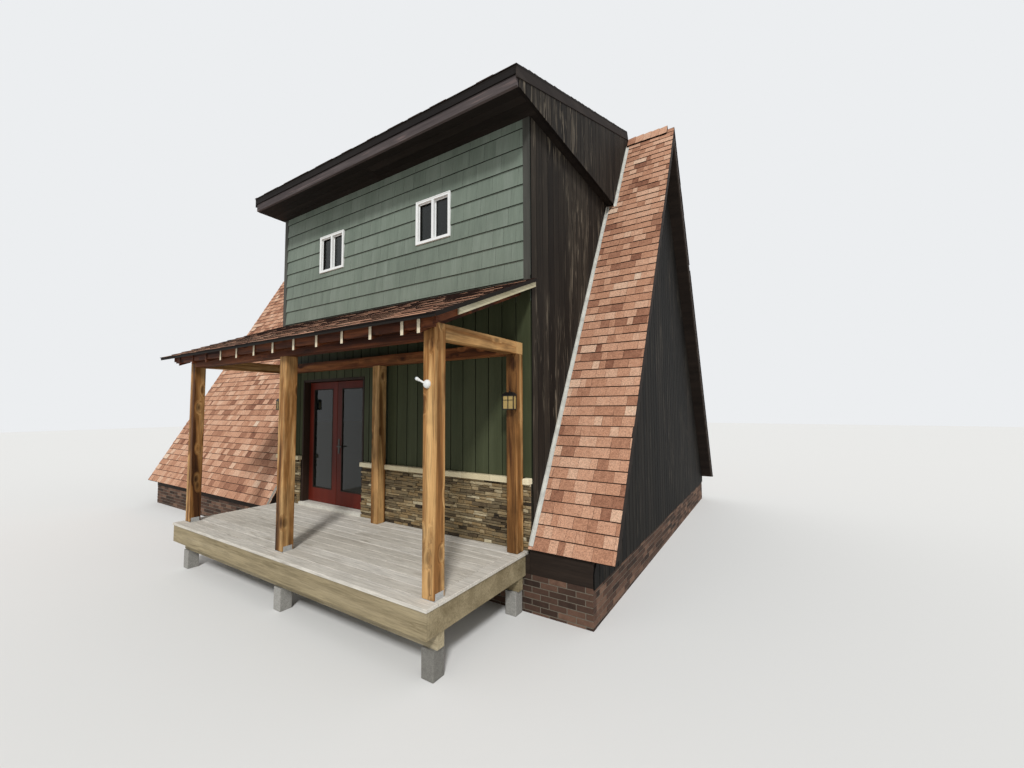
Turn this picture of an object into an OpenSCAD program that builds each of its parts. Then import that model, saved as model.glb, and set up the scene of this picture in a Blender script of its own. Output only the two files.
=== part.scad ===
// A-frame cabin with a two-storey shed dormer and a covered porch, in millimetres.
// X runs along the ridge, Y from the porch to the back, Z up from the ground.
// Sizes are measured from the dormer's right front corner: x is negative to the
// left of it, y is negative ahead of the front wall, heights start at the ground.

/* [Main frame] */
// Length of the main roof along its ridge
cabin_length = 11870; // [10500:10:14500]
// Distance between the front wall and the back wall line
cabin_depth = 7240; // [6000:10:8700]
// Slope of the two main roof planes in degrees
slope_angle = 61; // [58:0.5:63]
// How far the front slope's foot reaches ahead of the front wall at deck level
slope_foot = 135; // [60:5:200]
// Thickness of the main roof, square to its face
roof_thickness = 140; // [120:5:168]
// Length of main roof to the right of the dormer
right_strip = 1002; // [800:1:1600]
// How far the main roof runs out past each end wall
gable_overhang = 250; // [150:10:400]
// Height of the right front eave above the deck
right_eave_rise = 60; // [40:5:90]
// How far the left and back eaves lie below the deck
low_eave_drop = 100; // [40:5:120]

/* [Levels] */
// Height of the porch deck above the ground
deck_height = 660; // [600:10:790]
// Height of the brick foundation above the ground
foundation_height = 425; // [355:5:430]
// Step from the deck up to the floor inside
floor_rise = 40; // [20:5:60]
// Thickness of the upper floor
upper_floor_thickness = 240; // [200:10:300]
// Height of the upper floor's surface above the deck
upper_floor_rise = 2750; // [2600:10:3000]
// Height of the joint between the two front walls above the deck
storey_joint_rise = 2900; // [2800:10:3000]

/* [Walls] */
// Thickness of the framed walls
wall_thickness = 140; // [115:5:168]
// Thickness of the brick foundation walls
foundation_thickness = 200; // [180:10:240]

/* [Dormer] */
// Width of the dormer over its walls
dormer_width = 5280; // [4600:10:6300]
// Height of the dormer roof's front edge above the deck
dormer_eave_rise = 5375; // [5200:5:5600]
// Height of the dormer's soffit above the deck
soffit_rise = 5152; // [5000:2:5170]
// How far the dormer roof runs out ahead of the front wall
dormer_overhang = 535; // [400:5:650]
// How far the dormer roof runs out past the right wall
right_overhang = 155; // [120:5:190]
// How far the dormer roof runs out past the left wall
left_overhang = 58; // [52:1:80]
// Depth of the dormer roof, whose underside meets the ridge
dormer_roof_depth = 200; // [160:5:240]
// Height of the dormer roof's thin front edge
roof_edge = 100; // [80:5:120]
// Height of the dormer's sloping rake boards
rake_depth = 150; // [130:5:155]

/* [Windows] */
// Width of each upper window
window_width = 640; // [540:10:770]
// Height of each upper window
window_height = 632; // [540:2:760]
// Height of the window sills above the deck
window_sill_rise = 3952; // [3800:2:4100]
// Distance from the right corner to the middle of the right window
window_inset = 1552; // [1200:1:1700]
// Distance between the middles of the two windows
window_spacing = 2288; // [1900:1:2700]
// Width of the window frame's bars
window_bar = 42; // [35:1:50]

/* [Doors] */
// Width of one glazed door leaf
leaf_width = 762; // [635:1:860]
// Height of a door leaf
leaf_height = 2032; // [1900:1:2100]
// Thickness of a door leaf
leaf_thickness = 44; // [38:1:50]
// Distance from the right corner to the middle of the doorway
door_middle = 3770; // [3650:5:3800]
// Gap between the two closed leaves
meeting_gap = 9; // [8:0.5:12]
// Gap between a leaf and its jamb
jamb_gap = 6; // [5.5:0.5:8]
// Thickness of the door jambs and head
jamb_thickness = 40; // [32:1:48]
// Width of the stiles and top rail of a leaf
leaf_stile = 115; // [95:5:130]
// Height of the bottom rail of a leaf
leaf_bottom_rail = 230; // [180:5:280]

/* [Stone band] */
// Height of the top of the stone band's cap above the deck
cap_rise = 820; // [700:5:900]
// Thickness of the cap
cap_thickness = 65; // [50:5:80]
// Thickness of the stone facing
stone_thickness = 60; // [50:2:72]

/* [Porch] */
// Depth of the porch deck ahead of the front wall
deck_depth = 1677; // [1400:1:2010]
// Left end of the deck, from the right corner
deck_left = 5020; // [4990:5:5200]
// Right end of the deck, from the right corner
deck_right = 40; // [20:5:60]
// Thickness of the deck boards
deck_board = 30; // [25:1:38]
// Height of the deck's rim boards
rim_height = 230; // [184:2:240]
// Side of the square posts
post_size = 140; // [120:1:150]
// Distance of the front posts from the deck's front edge
post_setback = 130; // [100:5:160]
// Distance from the right corner to the middle of the right posts
right_post = 155; // [130:1:165]
// Spacing from the right posts to the middle posts
right_bay = 2321; // [2200:1:2400]
// Spacing from the middle posts to the left posts
left_bay = 2415; // [2300:1:2430]
// Height of the beams' underside above the deck
beam_rise = 2252; // [2150:2:2300]
// Depth of the porch beams
beam_height = 140; // [130:1:150]
// Height of the porch roof's top where it meets the wall, above the deck
porch_roof_rise = 3153; // [3100:1:3200]
// Height of the porch roof's front edge above the deck
porch_eave_rise = 2415; // [2405:1:2425]
// How far the porch roof runs out ahead of the deck
porch_overhang = 60; // [40:5:90]
// Porch roof's left end, from the right corner
porch_roof_left = 5517; // [5450:1:5600]
// How far the porch roof runs past the right corner
porch_roof_right = 86; // [70:1:110]
// Thickness of the porch roof's boards and shingles
porch_roof_thickness = 34; // [28:1:38]
// Width of a porch rafter
rafter_width = 38; // [35:1:45]
// Depth of a porch rafter
rafter_depth = 118; // [112:1:125]
// Depth of the outermost rafters and of the boards on them
verge_depth = 62; // [55:1:70]
// How far the porch roof's left end runs out past its last rafter
left_verge = 327; // [100:1:340]
// Spacing of the porch rafters
rafter_pitch = 422; // [352:1:506]
// Distance from the right corner to the middle of the first spaced rafter
first_rafter = 357; // [300:1:400]

/* [Clearances] */
// Gap where a piece seats on or under a sloping one
seat_gap = 0.3; // [0.2:0.1:0.5]
// Gap between two lengths of one wall or timber
butt_gap = 2; // [1:0.5:4]
// Gap between the fixed and the turning parts of a hinge
hinge_gap = 0.5; // [0.4:0.1:0.8]

/* [Hidden] */
$fn = 32;

// The main roof's triangle, as heights above the ground
ridge_y = cabin_depth / 2;
ridge_z = deck_height + (ridge_y + slope_foot) * tan(slope_angle);
roof_across = roof_thickness / sin(slope_angle);
roof_down = roof_thickness / cos(slope_angle);
floor_top = deck_height + floor_rise;
floor_front = ceil(slope_inner(floor_top));
right_eave_z = deck_height + right_eave_rise;
low_eave_z = deck_height - low_eave_drop;
sill_inset = 25;
base_front = round(slope_outer(right_eave_z) + sill_inset);
right_rake = right_strip;
left_rake = right_strip - cabin_length;
gable_right = right_rake - gable_overhang;
gable_left = left_rake + gable_overhang;

// The dormer roof's plane
dormer_eave_z = deck_height + dormer_eave_rise;
soffit_z = deck_height + soffit_rise;
dormer_rise = (ridge_z + dormer_roof_depth - dormer_eave_z) / (ridge_y + dormer_overhang);
fascia_thickness = 38;
panel_thickness = 20;
skirt_thickness = 30;
rake_thickness = 22;
edge_reach = 16;
cap_wing = 150;
cap_setback = 120;
skirt_right = right_overhang - rake_thickness;
skirt_left = -dormer_width - left_overhang + rake_thickness;

// The doorway
doorway_half = leaf_width + meeting_gap / 2 + jamb_gap;
frame_half = doorway_half + jamb_thickness;
leaf_bottom = floor_top + 12;
leaf_top = leaf_bottom + leaf_height;
head_bottom = leaf_top + jamb_gap;
frame_top = head_bottom + jamb_thickness;
leaf_front = wall_thickness - leaf_thickness;
window_z = deck_height + window_sill_rise;
glass_thickness = 20;
lever_height = leaf_bottom + 960;
barrel_radius = 7;
pin_radius = 3;
hinge_height = 100;
hinge_plate = 2.5;
hinge_reach = 36;
hinge_lift = barrel_radius + 1;
hinge_x = doorway_half - jamb_gap / 2;
hinge_y = wall_thickness + hinge_lift;
hinge_inset = 180;
hinge_z = [for (i = [0 : 2]) leaf_bottom + hinge_inset + i * (leaf_height - 2 * hinge_inset) / 2];

// The porch
storey_joint_z = deck_height + storey_joint_rise;
porch_wall_z = deck_height + porch_roof_rise;
porch_eave_z = deck_height + porch_eave_rise;
porch_front = deck_depth + porch_overhang;
porch_rise = (porch_wall_z - porch_eave_z) / porch_front;
porch_angle = atan(porch_rise);
beam_z = deck_height + beam_rise;
beam_top = beam_z + beam_height;
front_post_y = post_setback + post_size / 2 - deck_depth;
wall_post_y = -stone_thickness - post_size / 2;
post_x = [-right_post, -right_post - right_bay, -right_post - right_bay - left_bay];
cap_z = deck_height + cap_rise;
joist_top = deck_height - deck_board;
joist_z = joist_top - rim_height;
rim_thickness = 38;
rim_inset = 12;
rim_front = -deck_depth + rim_inset;
joist_count = 13;
girder_height = 140;
girder_width = 90;
pier_rows = [front_post_y, base_front - post_size / 2 - 20];
rafter_tail = -porch_front + 57;
rafter_end = porch_roof_left - left_verge - rafter_width / 2;
last_rafter = rafter_end - 2 * rafter_width;
rafter_x = concat([porch_roof_right - 40 - rafter_width / 2, -right_post],
                  [for (x = [first_rafter : rafter_pitch : last_rafter]) -x], [-rafter_end]);
blocking_thickness = 38;
blocking_height = 89;
blocking_recess = 10;
base_height = 60;
base_plate = 4;
lantern_width = 150;
lantern_depth = 68;
lantern_height = 164;
lantern_rise = 1612;

// The whole object's box, whose bottom middle is the origin
middle_x = (left_rake + right_rake) / 2;
front_end = -porch_front;
back_end = cabin_depth - slope_outer(low_eave_z);
middle_y = (front_end + back_end) / 2;

// Where the front slope's outer and inner faces lie at a height
function slope_outer(z) = ridge_y - (ridge_z - z) / tan(slope_angle);
function slope_inner(z) = slope_outer(z) + roof_across;
// Where a piece under the slopes ends, clear of them
function clear_inner(z) = slope_inner(z) + seat_gap / sin(slope_angle);
// Heights of the dormer roof's top, of what carries it and of the porch roof's top at a depth
function dormer_top(y) = dormer_eave_z + (y + dormer_overhang) * dormer_rise;
function dormer_underside(y) = dormer_top(y) - dormer_roof_depth - seat_gap;
function porch_top(y) = porch_wall_z + y * porch_rise;
// How far ahead of the ridge a line this far below the dormer roof's top meets the back slope's plane
function ahead_of_ridge(depth) = (dormer_roof_depth - depth) / (tan(slope_angle) + dormer_rise);
// Height of the main roof's inner face at a depth
function slope_height(y) = ridge_z - roof_down - (ridge_y - y) * tan(slope_angle);
// Middle of a window, counted from the right
function window_x(i) = -window_inset - i * window_spacing;

// Moves the sizes' corner to the object's own origin
module site() {
    translate([-middle_x, -middle_y, 0]) children();
}

// A profile in depth and height, drawn out along X
module along_x(x0, x1) {
    translate([x0, 0, 0]) rotate([90, 0, 90]) linear_extrude(height = x1 - x0) children();
}

// A profile in width and height, drawn out along Y
module along_y(y0, y1) {
    translate([0, y1, 0]) rotate([90, 0, 0]) linear_extrude(height = y1 - y0) children();
}

// A box given by its lowest and highest corners
module block(low, high) {
    translate(low) cube(high - low);
}

module foundation_walls() {
    y0 = base_front + foundation_thickness + butt_gap;
    color("rosybrown") site() {
        for (y = [base_front, cabin_depth - base_front - foundation_thickness])
            block([gable_left, y, 0], [gable_right, y + foundation_thickness, foundation_height]);
        for (x = [gable_left, gable_right - foundation_thickness])
            block([x, y0, 0], [x + foundation_thickness, cabin_depth - y0, foundation_height]);
    }
}

// Timbers on the foundation that carry the eaves and the dormer's front wall
module sill_beams() {
    under_deck = deck_height - deck_board;
    color("#3a2e28") site() {
        block([gable_left, base_front, foundation_height],
              [-dormer_width - butt_gap, floor_front, low_eave_z]);
        along_x(-dormer_width, 0)
            polygon([[base_front, foundation_height], [floor_front, foundation_height],
                     [floor_front, floor_top],
                     [0, floor_top], [0, under_deck], [base_front, under_deck]]);
        block([butt_gap, base_front, foundation_height], [gable_right, floor_front, right_eave_z]);
        block([gable_left, cabin_depth - floor_front, foundation_height],
              [gable_right, cabin_depth - base_front, low_eave_z]);
    }
}

module ground_floor() {
    color("burlywood") site()
        block([gable_left, floor_front, foundation_height],
              [gable_right, cabin_depth - floor_front, floor_top]);
}

// The upper floor, behind the dormer's front wall and under the main roof beside it
module upper_floor() {
    z1 = deck_height + upper_floor_rise;
    z0 = z1 - upper_floor_thickness;
    back = [[cabin_depth - clear_inner(z0), z0], [cabin_depth - clear_inner(z1), z1]];
    spans = [[gable_left + wall_thickness, -dormer_width + wall_thickness - butt_gap],
             [butt_gap - wall_thickness, gable_right - wall_thickness]];
    color("burlywood") site() {
        along_x(-dormer_width + wall_thickness, -wall_thickness)
            polygon(concat([[wall_thickness, z1], [wall_thickness, z0]], back));
        for (s = spans)
            along_x(s[0], s[1])
                polygon(concat([[clear_inner(z1), z1], [clear_inner(z0), z0]], back));
    }
}

// One front slope's section from its level-cut foot to the ridge
module slope_section(foot_z) {
    polygon([[slope_outer(foot_z), foot_z], [slope_inner(foot_z), foot_z],
             [ridge_y, ridge_z - roof_down], [ridge_y, ridge_z]]);
}

// The front slope left and right of the dormer
module front_slopes() {
    color("#96644f") site() {
        along_x(left_rake, -dormer_width) slope_section(low_eave_z);
        along_x(0, right_rake) slope_section(right_eave_z);
    }
}

module back_slope() {
    color("#96644f") site()
        translate([0, cabin_depth, 0]) mirror([0, 1, 0])
            along_x(left_rake, right_rake) slope_section(low_eave_z);
}

// A raised ridge vent on both sides of the dormer, with one wing on each slope
module ridge_cap() {
    lift = 35;
    half = butt_gap / 2;
    drop = half * tan(slope_angle);
    up = lift / cos(slope_angle);
    seat = seat_gap / cos(slope_angle);
    run = cap_wing * cos(slope_angle);
    foot_z = ridge_z - cap_wing * sin(slope_angle);
    reach = run + lift * sin(slope_angle);
    edge_z = foot_z + lift * cos(slope_angle);
    spans = [[left_rake + cap_setback, -dormer_width - left_overhang],
             [right_overhang, right_rake - cap_setback]];
    color("#7d4f3d") site()
        for (s = spans)
            for (side = [-1, 1])
                along_x(s[0], s[1])
                    polygon([[ridge_y + side * half, ridge_z + seat - drop],
                             [ridge_y + side * run, foot_z + seat],
                             [ridge_y + side * reach, edge_z],
                             [ridge_y + side * half, ridge_z + up - drop]]);
}

module gable_section() {
    foot = floor_front + seat_gap;
    polygon([[foot, floor_top], [cabin_depth - foot, floor_top],
             [ridge_y, ridge_z - roof_down - seat_gap / cos(slope_angle)]]);
}

module gable_walls() {
    color("#3d3530") site()
        for (x = [gable_left, gable_right - wall_thickness])
            along_x(x, x + wall_thickness) gable_section();
}

module front_walls_beside_door() {
    color("#5a6248") site() {
        block([-dormer_width, 0, floor_top], [-door_middle - frame_half, wall_thickness, storey_joint_z]);
        block([-door_middle + frame_half, 0, floor_top], [0, wall_thickness, storey_joint_z]);
    }
}

module front_wall_over_door() {
    color("#5a6248") site()
        block([-door_middle - frame_half, 0, frame_top],
              [-door_middle + frame_half, wall_thickness, storey_joint_z]);
}

module upper_front_wall() {
    color("#66705f") site()
        difference() {
            along_x(-dormer_width, 0)
                polygon([[0, storey_joint_z], [wall_thickness, storey_joint_z],
                         [wall_thickness, dormer_underside(wall_thickness)], [0, dormer_underside(0)]]);
            for (i = [0, 1])
                block([window_x(i) - window_width / 2, -1, window_z],
                      [window_x(i) + window_width / 2, wall_thickness + 1, window_z + window_height]);
        }
}

// A dormer side wall, from the front wall back to the main roof
module side_wall_section() {
    polygon([[wall_thickness, slope_height(wall_thickness)],
             [wall_thickness, dormer_underside(wall_thickness)],
             [ridge_y - seat_gap, dormer_underside(ridge_y)], [ridge_y - seat_gap, slope_height(ridge_y)]]);
}

module dormer_side_walls() {
    color("#3d3530") site()
        for (x = [-dormer_width, -wall_thickness])
            along_x(x, x + wall_thickness) side_wall_section();
}

// The dormer roof: a thick slab with a thin front edge, cut at the back to the main roof's back plane
module dormer_roof() {
    peak_y = ridge_y - ahead_of_ridge(0);
    front = -dormer_overhang;
    inner = front + edge_reach + fascia_thickness;
    color("#5c4a44") site()
        along_x(skirt_left + skirt_thickness, skirt_right - skirt_thickness)
            polygon([[front, dormer_eave_z], [peak_y, dormer_top(peak_y)],
                     [ridge_y, ridge_z], [inner, dormer_top(inner) - dormer_roof_depth],
                     [inner, dormer_eave_z - roof_edge], [front, dormer_eave_z - roof_edge]]);
}

module dormer_fascia() {
    front = -dormer_overhang + edge_reach;
    color("#5a5050") site()
        block([skirt_left, front, soffit_z],
              [skirt_right, front + fascia_thickness, dormer_eave_z - roof_edge]);
}

module dormer_soffit() {
    front = -dormer_overhang + edge_reach + fascia_thickness;
    color("#2b2420") site() {
        block([skirt_left + skirt_thickness, front, soffit_z],
              [skirt_right - skirt_thickness, 0, soffit_z + panel_thickness]);
        block([0, 0, soffit_z],
              [skirt_right - skirt_thickness, floor(slope_outer(soffit_z)), soffit_z + panel_thickness]);
    }
}

// Boarded triangles that close the roof's boxed ends
module dormer_skirts() {
    front = -dormer_overhang + edge_reach + fascia_thickness;
    peak_y = ridge_y - ahead_of_ridge(0);
    seat = seat_gap / sin(slope_angle);
    section = [[front, soffit_z], [slope_outer(soffit_z) - seat, soffit_z], [ridge_y - seat, ridge_z],
               [peak_y, dormer_top(peak_y)], [-dormer_overhang, dormer_eave_z],
               [-dormer_overhang, dormer_eave_z - roof_edge], [front, dormer_eave_z - roof_edge]];
    color("#3d3530") site() {
        along_x(skirt_right - skirt_thickness, skirt_right) polygon(section);
        along_x(skirt_left, skirt_left + skirt_thickness) polygon(section);
    }
}

// Dark boards along the dormer roof's sloping ends
module dormer_rake_boards() {
    front = -dormer_overhang;
    high_y = ridge_y - ahead_of_ridge(0);
    low_y = ridge_y - ahead_of_ridge(rake_depth);
    color("#4a403c") site()
        for (x = [skirt_left - rake_thickness, skirt_right])
            along_x(x, x + rake_thickness)
                polygon([[front, dormer_eave_z - rake_depth], [low_y, dormer_top(low_y) - rake_depth],
                         [high_y, dormer_top(high_y)], [front, dormer_eave_z]]);
}

module corner_boards() {
    board = 90;
    proud = 22;
    color("#555a52") site()
        for (x = [-dormer_width, -board])
            block([x, -proud, porch_wall_z], [x + board, 0, soffit_z]);
}

module window_frames() {
    depth = 90;
    proud = 32;
    pane = window_width / 2 - window_bar * 1.5;
    color("white") site()
        for (i = [0, 1])
            translate([window_x(i), 0, window_z])
                difference() {
                    block([-window_width / 2, -proud, 0], [window_width / 2, depth - proud, window_height]);
                    for (side = [-1, 1])
                        translate([side * (window_width / 4 - window_bar / 4), 0, window_height / 2])
                            cube([pane, 4 * depth, window_height - 2 * window_bar], center = true);
                }
}

module window_glass() {
    half_pane = window_width / 4 - window_bar * 0.75;
    middle = window_width / 4 - window_bar / 4;
    color("lightblue") site()
        for (i = [0, 1])
            for (side = [-1, 1])
                translate([window_x(i) + side * middle, 0, window_z])
                    block([-half_pane, 20, window_bar], [half_pane, 28, window_height - window_bar]);
}

module door_frame() {
    color("#2e211c") site()
        translate([-door_middle, 0, 0])
            difference() {
                block([-frame_half, 0, floor_top], [frame_half, wall_thickness, frame_top]);
                block([-doorway_half, -1, floor_top - 1], [doorway_half, wall_thickness + 1, head_bottom]);
            }
}

module door_threshold() {
    color("silver") site() {
        block([-door_middle - doorway_half, 0, floor_top],
              [-door_middle + doorway_half, wall_thickness, floor_top + 6]);
        block([-door_middle - frame_half, -stone_thickness, deck_height],
              [-door_middle + frame_half, 0, floor_top + 6]);
    }
}

// One glazed leaf, from its hinge edge at x = 0 towards +X, front face at y = 0
module leaf() {
    difference() {
        block([0, 0, 0], [leaf_width, leaf_thickness, leaf_height]);
        block([leaf_stile, -1, leaf_bottom_rail],
              [leaf_width - leaf_stile, leaf_thickness + 1, leaf_height - leaf_stile]);
    }
}

module leaf_glass() {
    y0 = (leaf_thickness - glass_thickness) / 2;
    block([leaf_stile, y0, leaf_bottom_rail],
          [leaf_width - leaf_stile, y0 + glass_thickness, leaf_height - leaf_stile]);
}

// Puts a leaf's piece in the doorway; the right leaf is a mirror image
module at_left_leaf() {
    translate([-door_middle - doorway_half + jamb_gap, leaf_front, leaf_bottom]) children();
}
module at_right_leaf() {
    translate([-door_middle + doorway_half - jamb_gap, leaf_front, leaf_bottom]) mirror([1, 0, 0]) children();
}

module left_door_leaf() {
    color("#82372a") site() at_left_leaf() leaf();
}
module left_door_glass() {
    color("lightblue") site() at_left_leaf() leaf_glass();
}
module right_door_leaf() {
    color("#82372a") site() at_right_leaf() leaf();
}
module right_door_glass() {
    color("lightblue") site() at_right_leaf() leaf_glass();
}

// Lever handles on both faces of the right leaf, on long plates
module door_lever() {
    x = leaf_width - leaf_stile / 2;
    z = lever_height - leaf_bottom;
    color("silver") site() at_right_leaf()
        for (face = [0, 1])
            translate([0, face * leaf_thickness, 0]) mirror([0, 1 - face, 0]) {
                block([x - 20, 0, z - 120], [x + 20, 8, z + 120]);
                translate([x, 8, z]) rotate([-90, 0, 0]) cylinder(r = 11, h = 34);
                block([x - 110, 30, z - 9], [x + 9, 44, z + 9]);
            }
}

// One half of a hinge, its axis at x = 0 and its plate towards +X on a face at y = -hinge_lift
module hinge_half(rings) {
    ring = (hinge_height - 2 * hinge_gap) / 3;
    y1 = -hinge_lift + hinge_plate;
    block([hinge_lift, -hinge_lift, 0], [hinge_reach, y1, hinge_height]);
    for (i = rings)
        translate([0, 0, i * (ring + hinge_gap)]) {
            cylinder(r = barrel_radius, h = ring);
            block([pin_radius, -hinge_lift, 0], [hinge_lift, y1, ring]);
        }
}

// Puts a leaf's hinges or their fixed halves in the doorway
module at_hinges(mirrored) {
    translate([-door_middle, 0, 0]) mirror([mirrored ? 1 : 0, 0, 0])
        for (z = hinge_z)
            translate([-hinge_x, hinge_y, z - hinge_height / 2]) children();
}

// The fixed halves with their pins, on both jambs
module frame_hinges() {
    color("silver") site()
        for (mirrored = [false, true])
            at_hinges(mirrored) {
                mirror([1, 0, 0]) hinge_half([0, 2]);
                cylinder(r = pin_radius, h = hinge_height);
            }
}

// The turning halves, bored for the pins
module leaf_hinges(mirrored) {
    color("silver") site() at_hinges(mirrored)
        difference() {
            hinge_half([1]);
            translate([0, 0, -1]) cylinder(r = pin_radius + hinge_gap, h = hinge_height + 2);
        }
}
module left_door_hinges() {
    leaf_hinges(false);
}
module right_door_hinges() {
    leaf_hinges(true);
}

module stone_wainscot() {
    color("#8d8272") site() {
        block([-dormer_width, -stone_thickness, deck_height],
              [-door_middle - frame_half, 0, cap_z - cap_thickness]);
        block([-door_middle + frame_half, -stone_thickness, deck_height], [0, 0, cap_z - cap_thickness]);
    }
}

// The cap runs between the wall posts
module wainscot_cap() {
    proud = stone_thickness + 25;
    half = post_size / 2;
    spans = [[-dormer_width, post_x[2] - half], [post_x[2] + half, -door_middle - frame_half],
             [-door_middle + frame_half, post_x[1] - half], [post_x[1] + half, post_x[0] - half],
             [post_x[0] + half, 0]];
    color("#c9b896") site()
        for (s = spans)
            if (s[1] > s[0])
                block([s[0], -proud, cap_z - cap_thickness], [s[1], 0, cap_z]);
}

// Metal strips where walls and roof ends meet the main roof
module wall_flashing() {
    width = 85;
    top = ridge_z - cap_wing * 1.1;
    color("gainsboro") site() {
        along_x(0, width) slope_strip(right_eave_z + 20, soffit_z);
        along_x(skirt_right, skirt_right + width) slope_strip(soffit_z, top);
        along_x(-dormer_width - width, -dormer_width) slope_strip(low_eave_z + 20, soffit_z);
        along_x(skirt_left - width, skirt_left) slope_strip(soffit_z, top);
    }
}

// A thin metal strip's section on the front slope between two heights
module slope_strip(low, high) {
    under = seat_gap / sin(slope_angle);
    over = 6 / sin(slope_angle);
    polygon([[slope_outer(low) - under, low], [slope_outer(high) - under, high],
             [slope_outer(high) - over, high], [slope_outer(low) - over, low]]);
}

module deck_boards() {
    color("#bdb9ad") site()
        block([-deck_left, -deck_depth, deck_height - deck_board], [-deck_right, 0, deck_height]);
}

// The deck's front and back rim boards and the joists between them
module deck_frame() {
    x0 = -deck_left + rim_inset;
    y0 = rim_front + rim_thickness + seat_gap;
    y1 = base_front - rim_thickness - seat_gap;
    pitch = (deck_left - deck_right - rim_thickness - 2 * rim_inset) / (joist_count - 1);
    color("#aa9669") site() {
        for (y = [rim_front, base_front - rim_thickness])
            block([x0, y, joist_z], [-deck_right - rim_inset, y + rim_thickness, joist_top]);
        for (i = [0 : joist_count - 1])
            translate([x0 + i * pitch, 0, 0])
                block([0, y0, joist_z], [rim_thickness, y1, joist_top]);
    }
}

// Two timbers that carry the joists
module deck_girders() {
    half = girder_width / 2;
    color("#8c7a55") site()
        for (y = pier_rows)
            block([-deck_left + 2 * rim_inset, y - half, joist_z - girder_height],
                  [-deck_right - 2 * rim_inset, y + half, joist_z]);
}

module deck_piers() {
    half = post_size / 2;
    color("#8f8f8a") site()
        for (x = post_x)
            for (y = pier_rows)
                block([x - half, y - half, 0], [x + half, y + half, joist_z - girder_height]);
}

// Three posts at the front on metal shoes, three against the wall; the front beam
// passes over the middle post and ends between the two at the corners
module porch_posts() {
    half = post_size / 2;
    color("#aa783c") site()
        for (i = [0 : 2]) {
            x = post_x[i];
            block([x - half, front_post_y - half, deck_height + base_plate],
                  [x + half, front_post_y + half, i == 1 ? beam_z : beam_top]);
            block([x - half, wall_post_y - half, deck_height], [x + half, wall_post_y + half, beam_z]);
        }
}

// Folded metal shoes under the front posts
module post_bases() {
    half = post_size / 2;
    wall = 3;
    color("silver") site()
        for (x = post_x)
            translate([x, front_post_y, deck_height]) {
                block([-half - wall, -half, 0], [half + wall, half, base_plate]);
                for (side = [-1, 1])
                    translate([side * (half + wall / 2), 0, base_height / 2])
                        cube([wall, post_size * 0.75, base_height], center = true);
            }
}

module front_beam() {
    half = post_size / 2;
    color("#5c3018") site()
        block([post_x[2] + half, front_post_y - half, beam_z],
              [post_x[0] - half, front_post_y + half, beam_top]);
}

module side_beams() {
    half = post_size / 2;
    color("#aa783c") site()
        for (x = [post_x[0], post_x[2]])
            block([x - half, front_post_y + half, beam_z], [x + half, wall_post_y - half, beam_top]);
}

module wall_beam() {
    half = post_size / 2;
    color("#aa783c") site()
        block([post_x[2] - half, wall_post_y - half, beam_z],
              [post_x[0] + half, wall_post_y + half, beam_top]);
}

// A porch rafter's section below the roof boards
module rafter_section(depth) {
    up = depth / cos(porch_angle);
    over = (porch_roof_thickness + seat_gap) / cos(porch_angle);
    polygon([[rafter_tail, porch_top(rafter_tail) - over], [0, porch_top(0) - over],
             [0, porch_top(0) - over - up], [rafter_tail, porch_top(rafter_tail) - over - up]]);
}

// Sloping rafters from the wall, notched over the front beam, with a shallow one at each end
module porch_rafters() {
    last = len(rafter_x) - 1;
    color("#6b3a1e") site() {
        for (i = [1 : last - 1])
            translate([rafter_x[i] - rafter_width / 2, 0, 0])
                along_x(0, rafter_width)
                    difference() {
                        rafter_section(rafter_depth);
                        translate([front_post_y - post_size / 2, beam_z])
                            square([2 * post_size, beam_height]);
                    }
        for (i = [0, last])
            translate([rafter_x[i] - rafter_width / 2, 0, 0])
                along_x(0, rafter_width) rafter_section(verge_depth);
    }
}

// Short boards between the rafter tails
module porch_blocking() {
    y0 = rafter_tail + blocking_recess;
    y1 = y0 + blocking_thickness;
    top = porch_top(y0) - (porch_roof_thickness + seat_gap) / cos(porch_angle);
    color("#5c3018") site()
        for (i = [1 : len(rafter_x) - 1])
            block([rafter_x[i] + rafter_width / 2, y0, top - blocking_height],
                  [rafter_x[i - 1] - rafter_width / 2, y1, top]);
}

module porch_roof() {
    over = porch_roof_thickness / cos(porch_angle);
    color("#96644f") site()
        along_x(-porch_roof_left, porch_roof_right)
            polygon([[-porch_front, porch_eave_z], [0, porch_wall_z], [0, porch_wall_z - over],
                     [-porch_front, porch_eave_z - over]]);
}

// Pale boards along the sloping ends of the porch roof
module porch_rake_boards() {
    over = (porch_roof_thickness + seat_gap) / cos(porch_angle);
    y0 = -porch_front + 335;
    board = 22;
    outer = rafter_width / 2;
    color("#c8be96") site()
        for (x = [-rafter_end - outer - board, rafter_x[0] + outer])
            along_x(x, x + board)
                polygon([[y0, porch_top(y0) - over], [0, porch_top(0) - over],
                         [0, porch_top(0) - over - verge_depth], [y0, porch_top(y0) - over - verge_depth]]);
}

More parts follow.
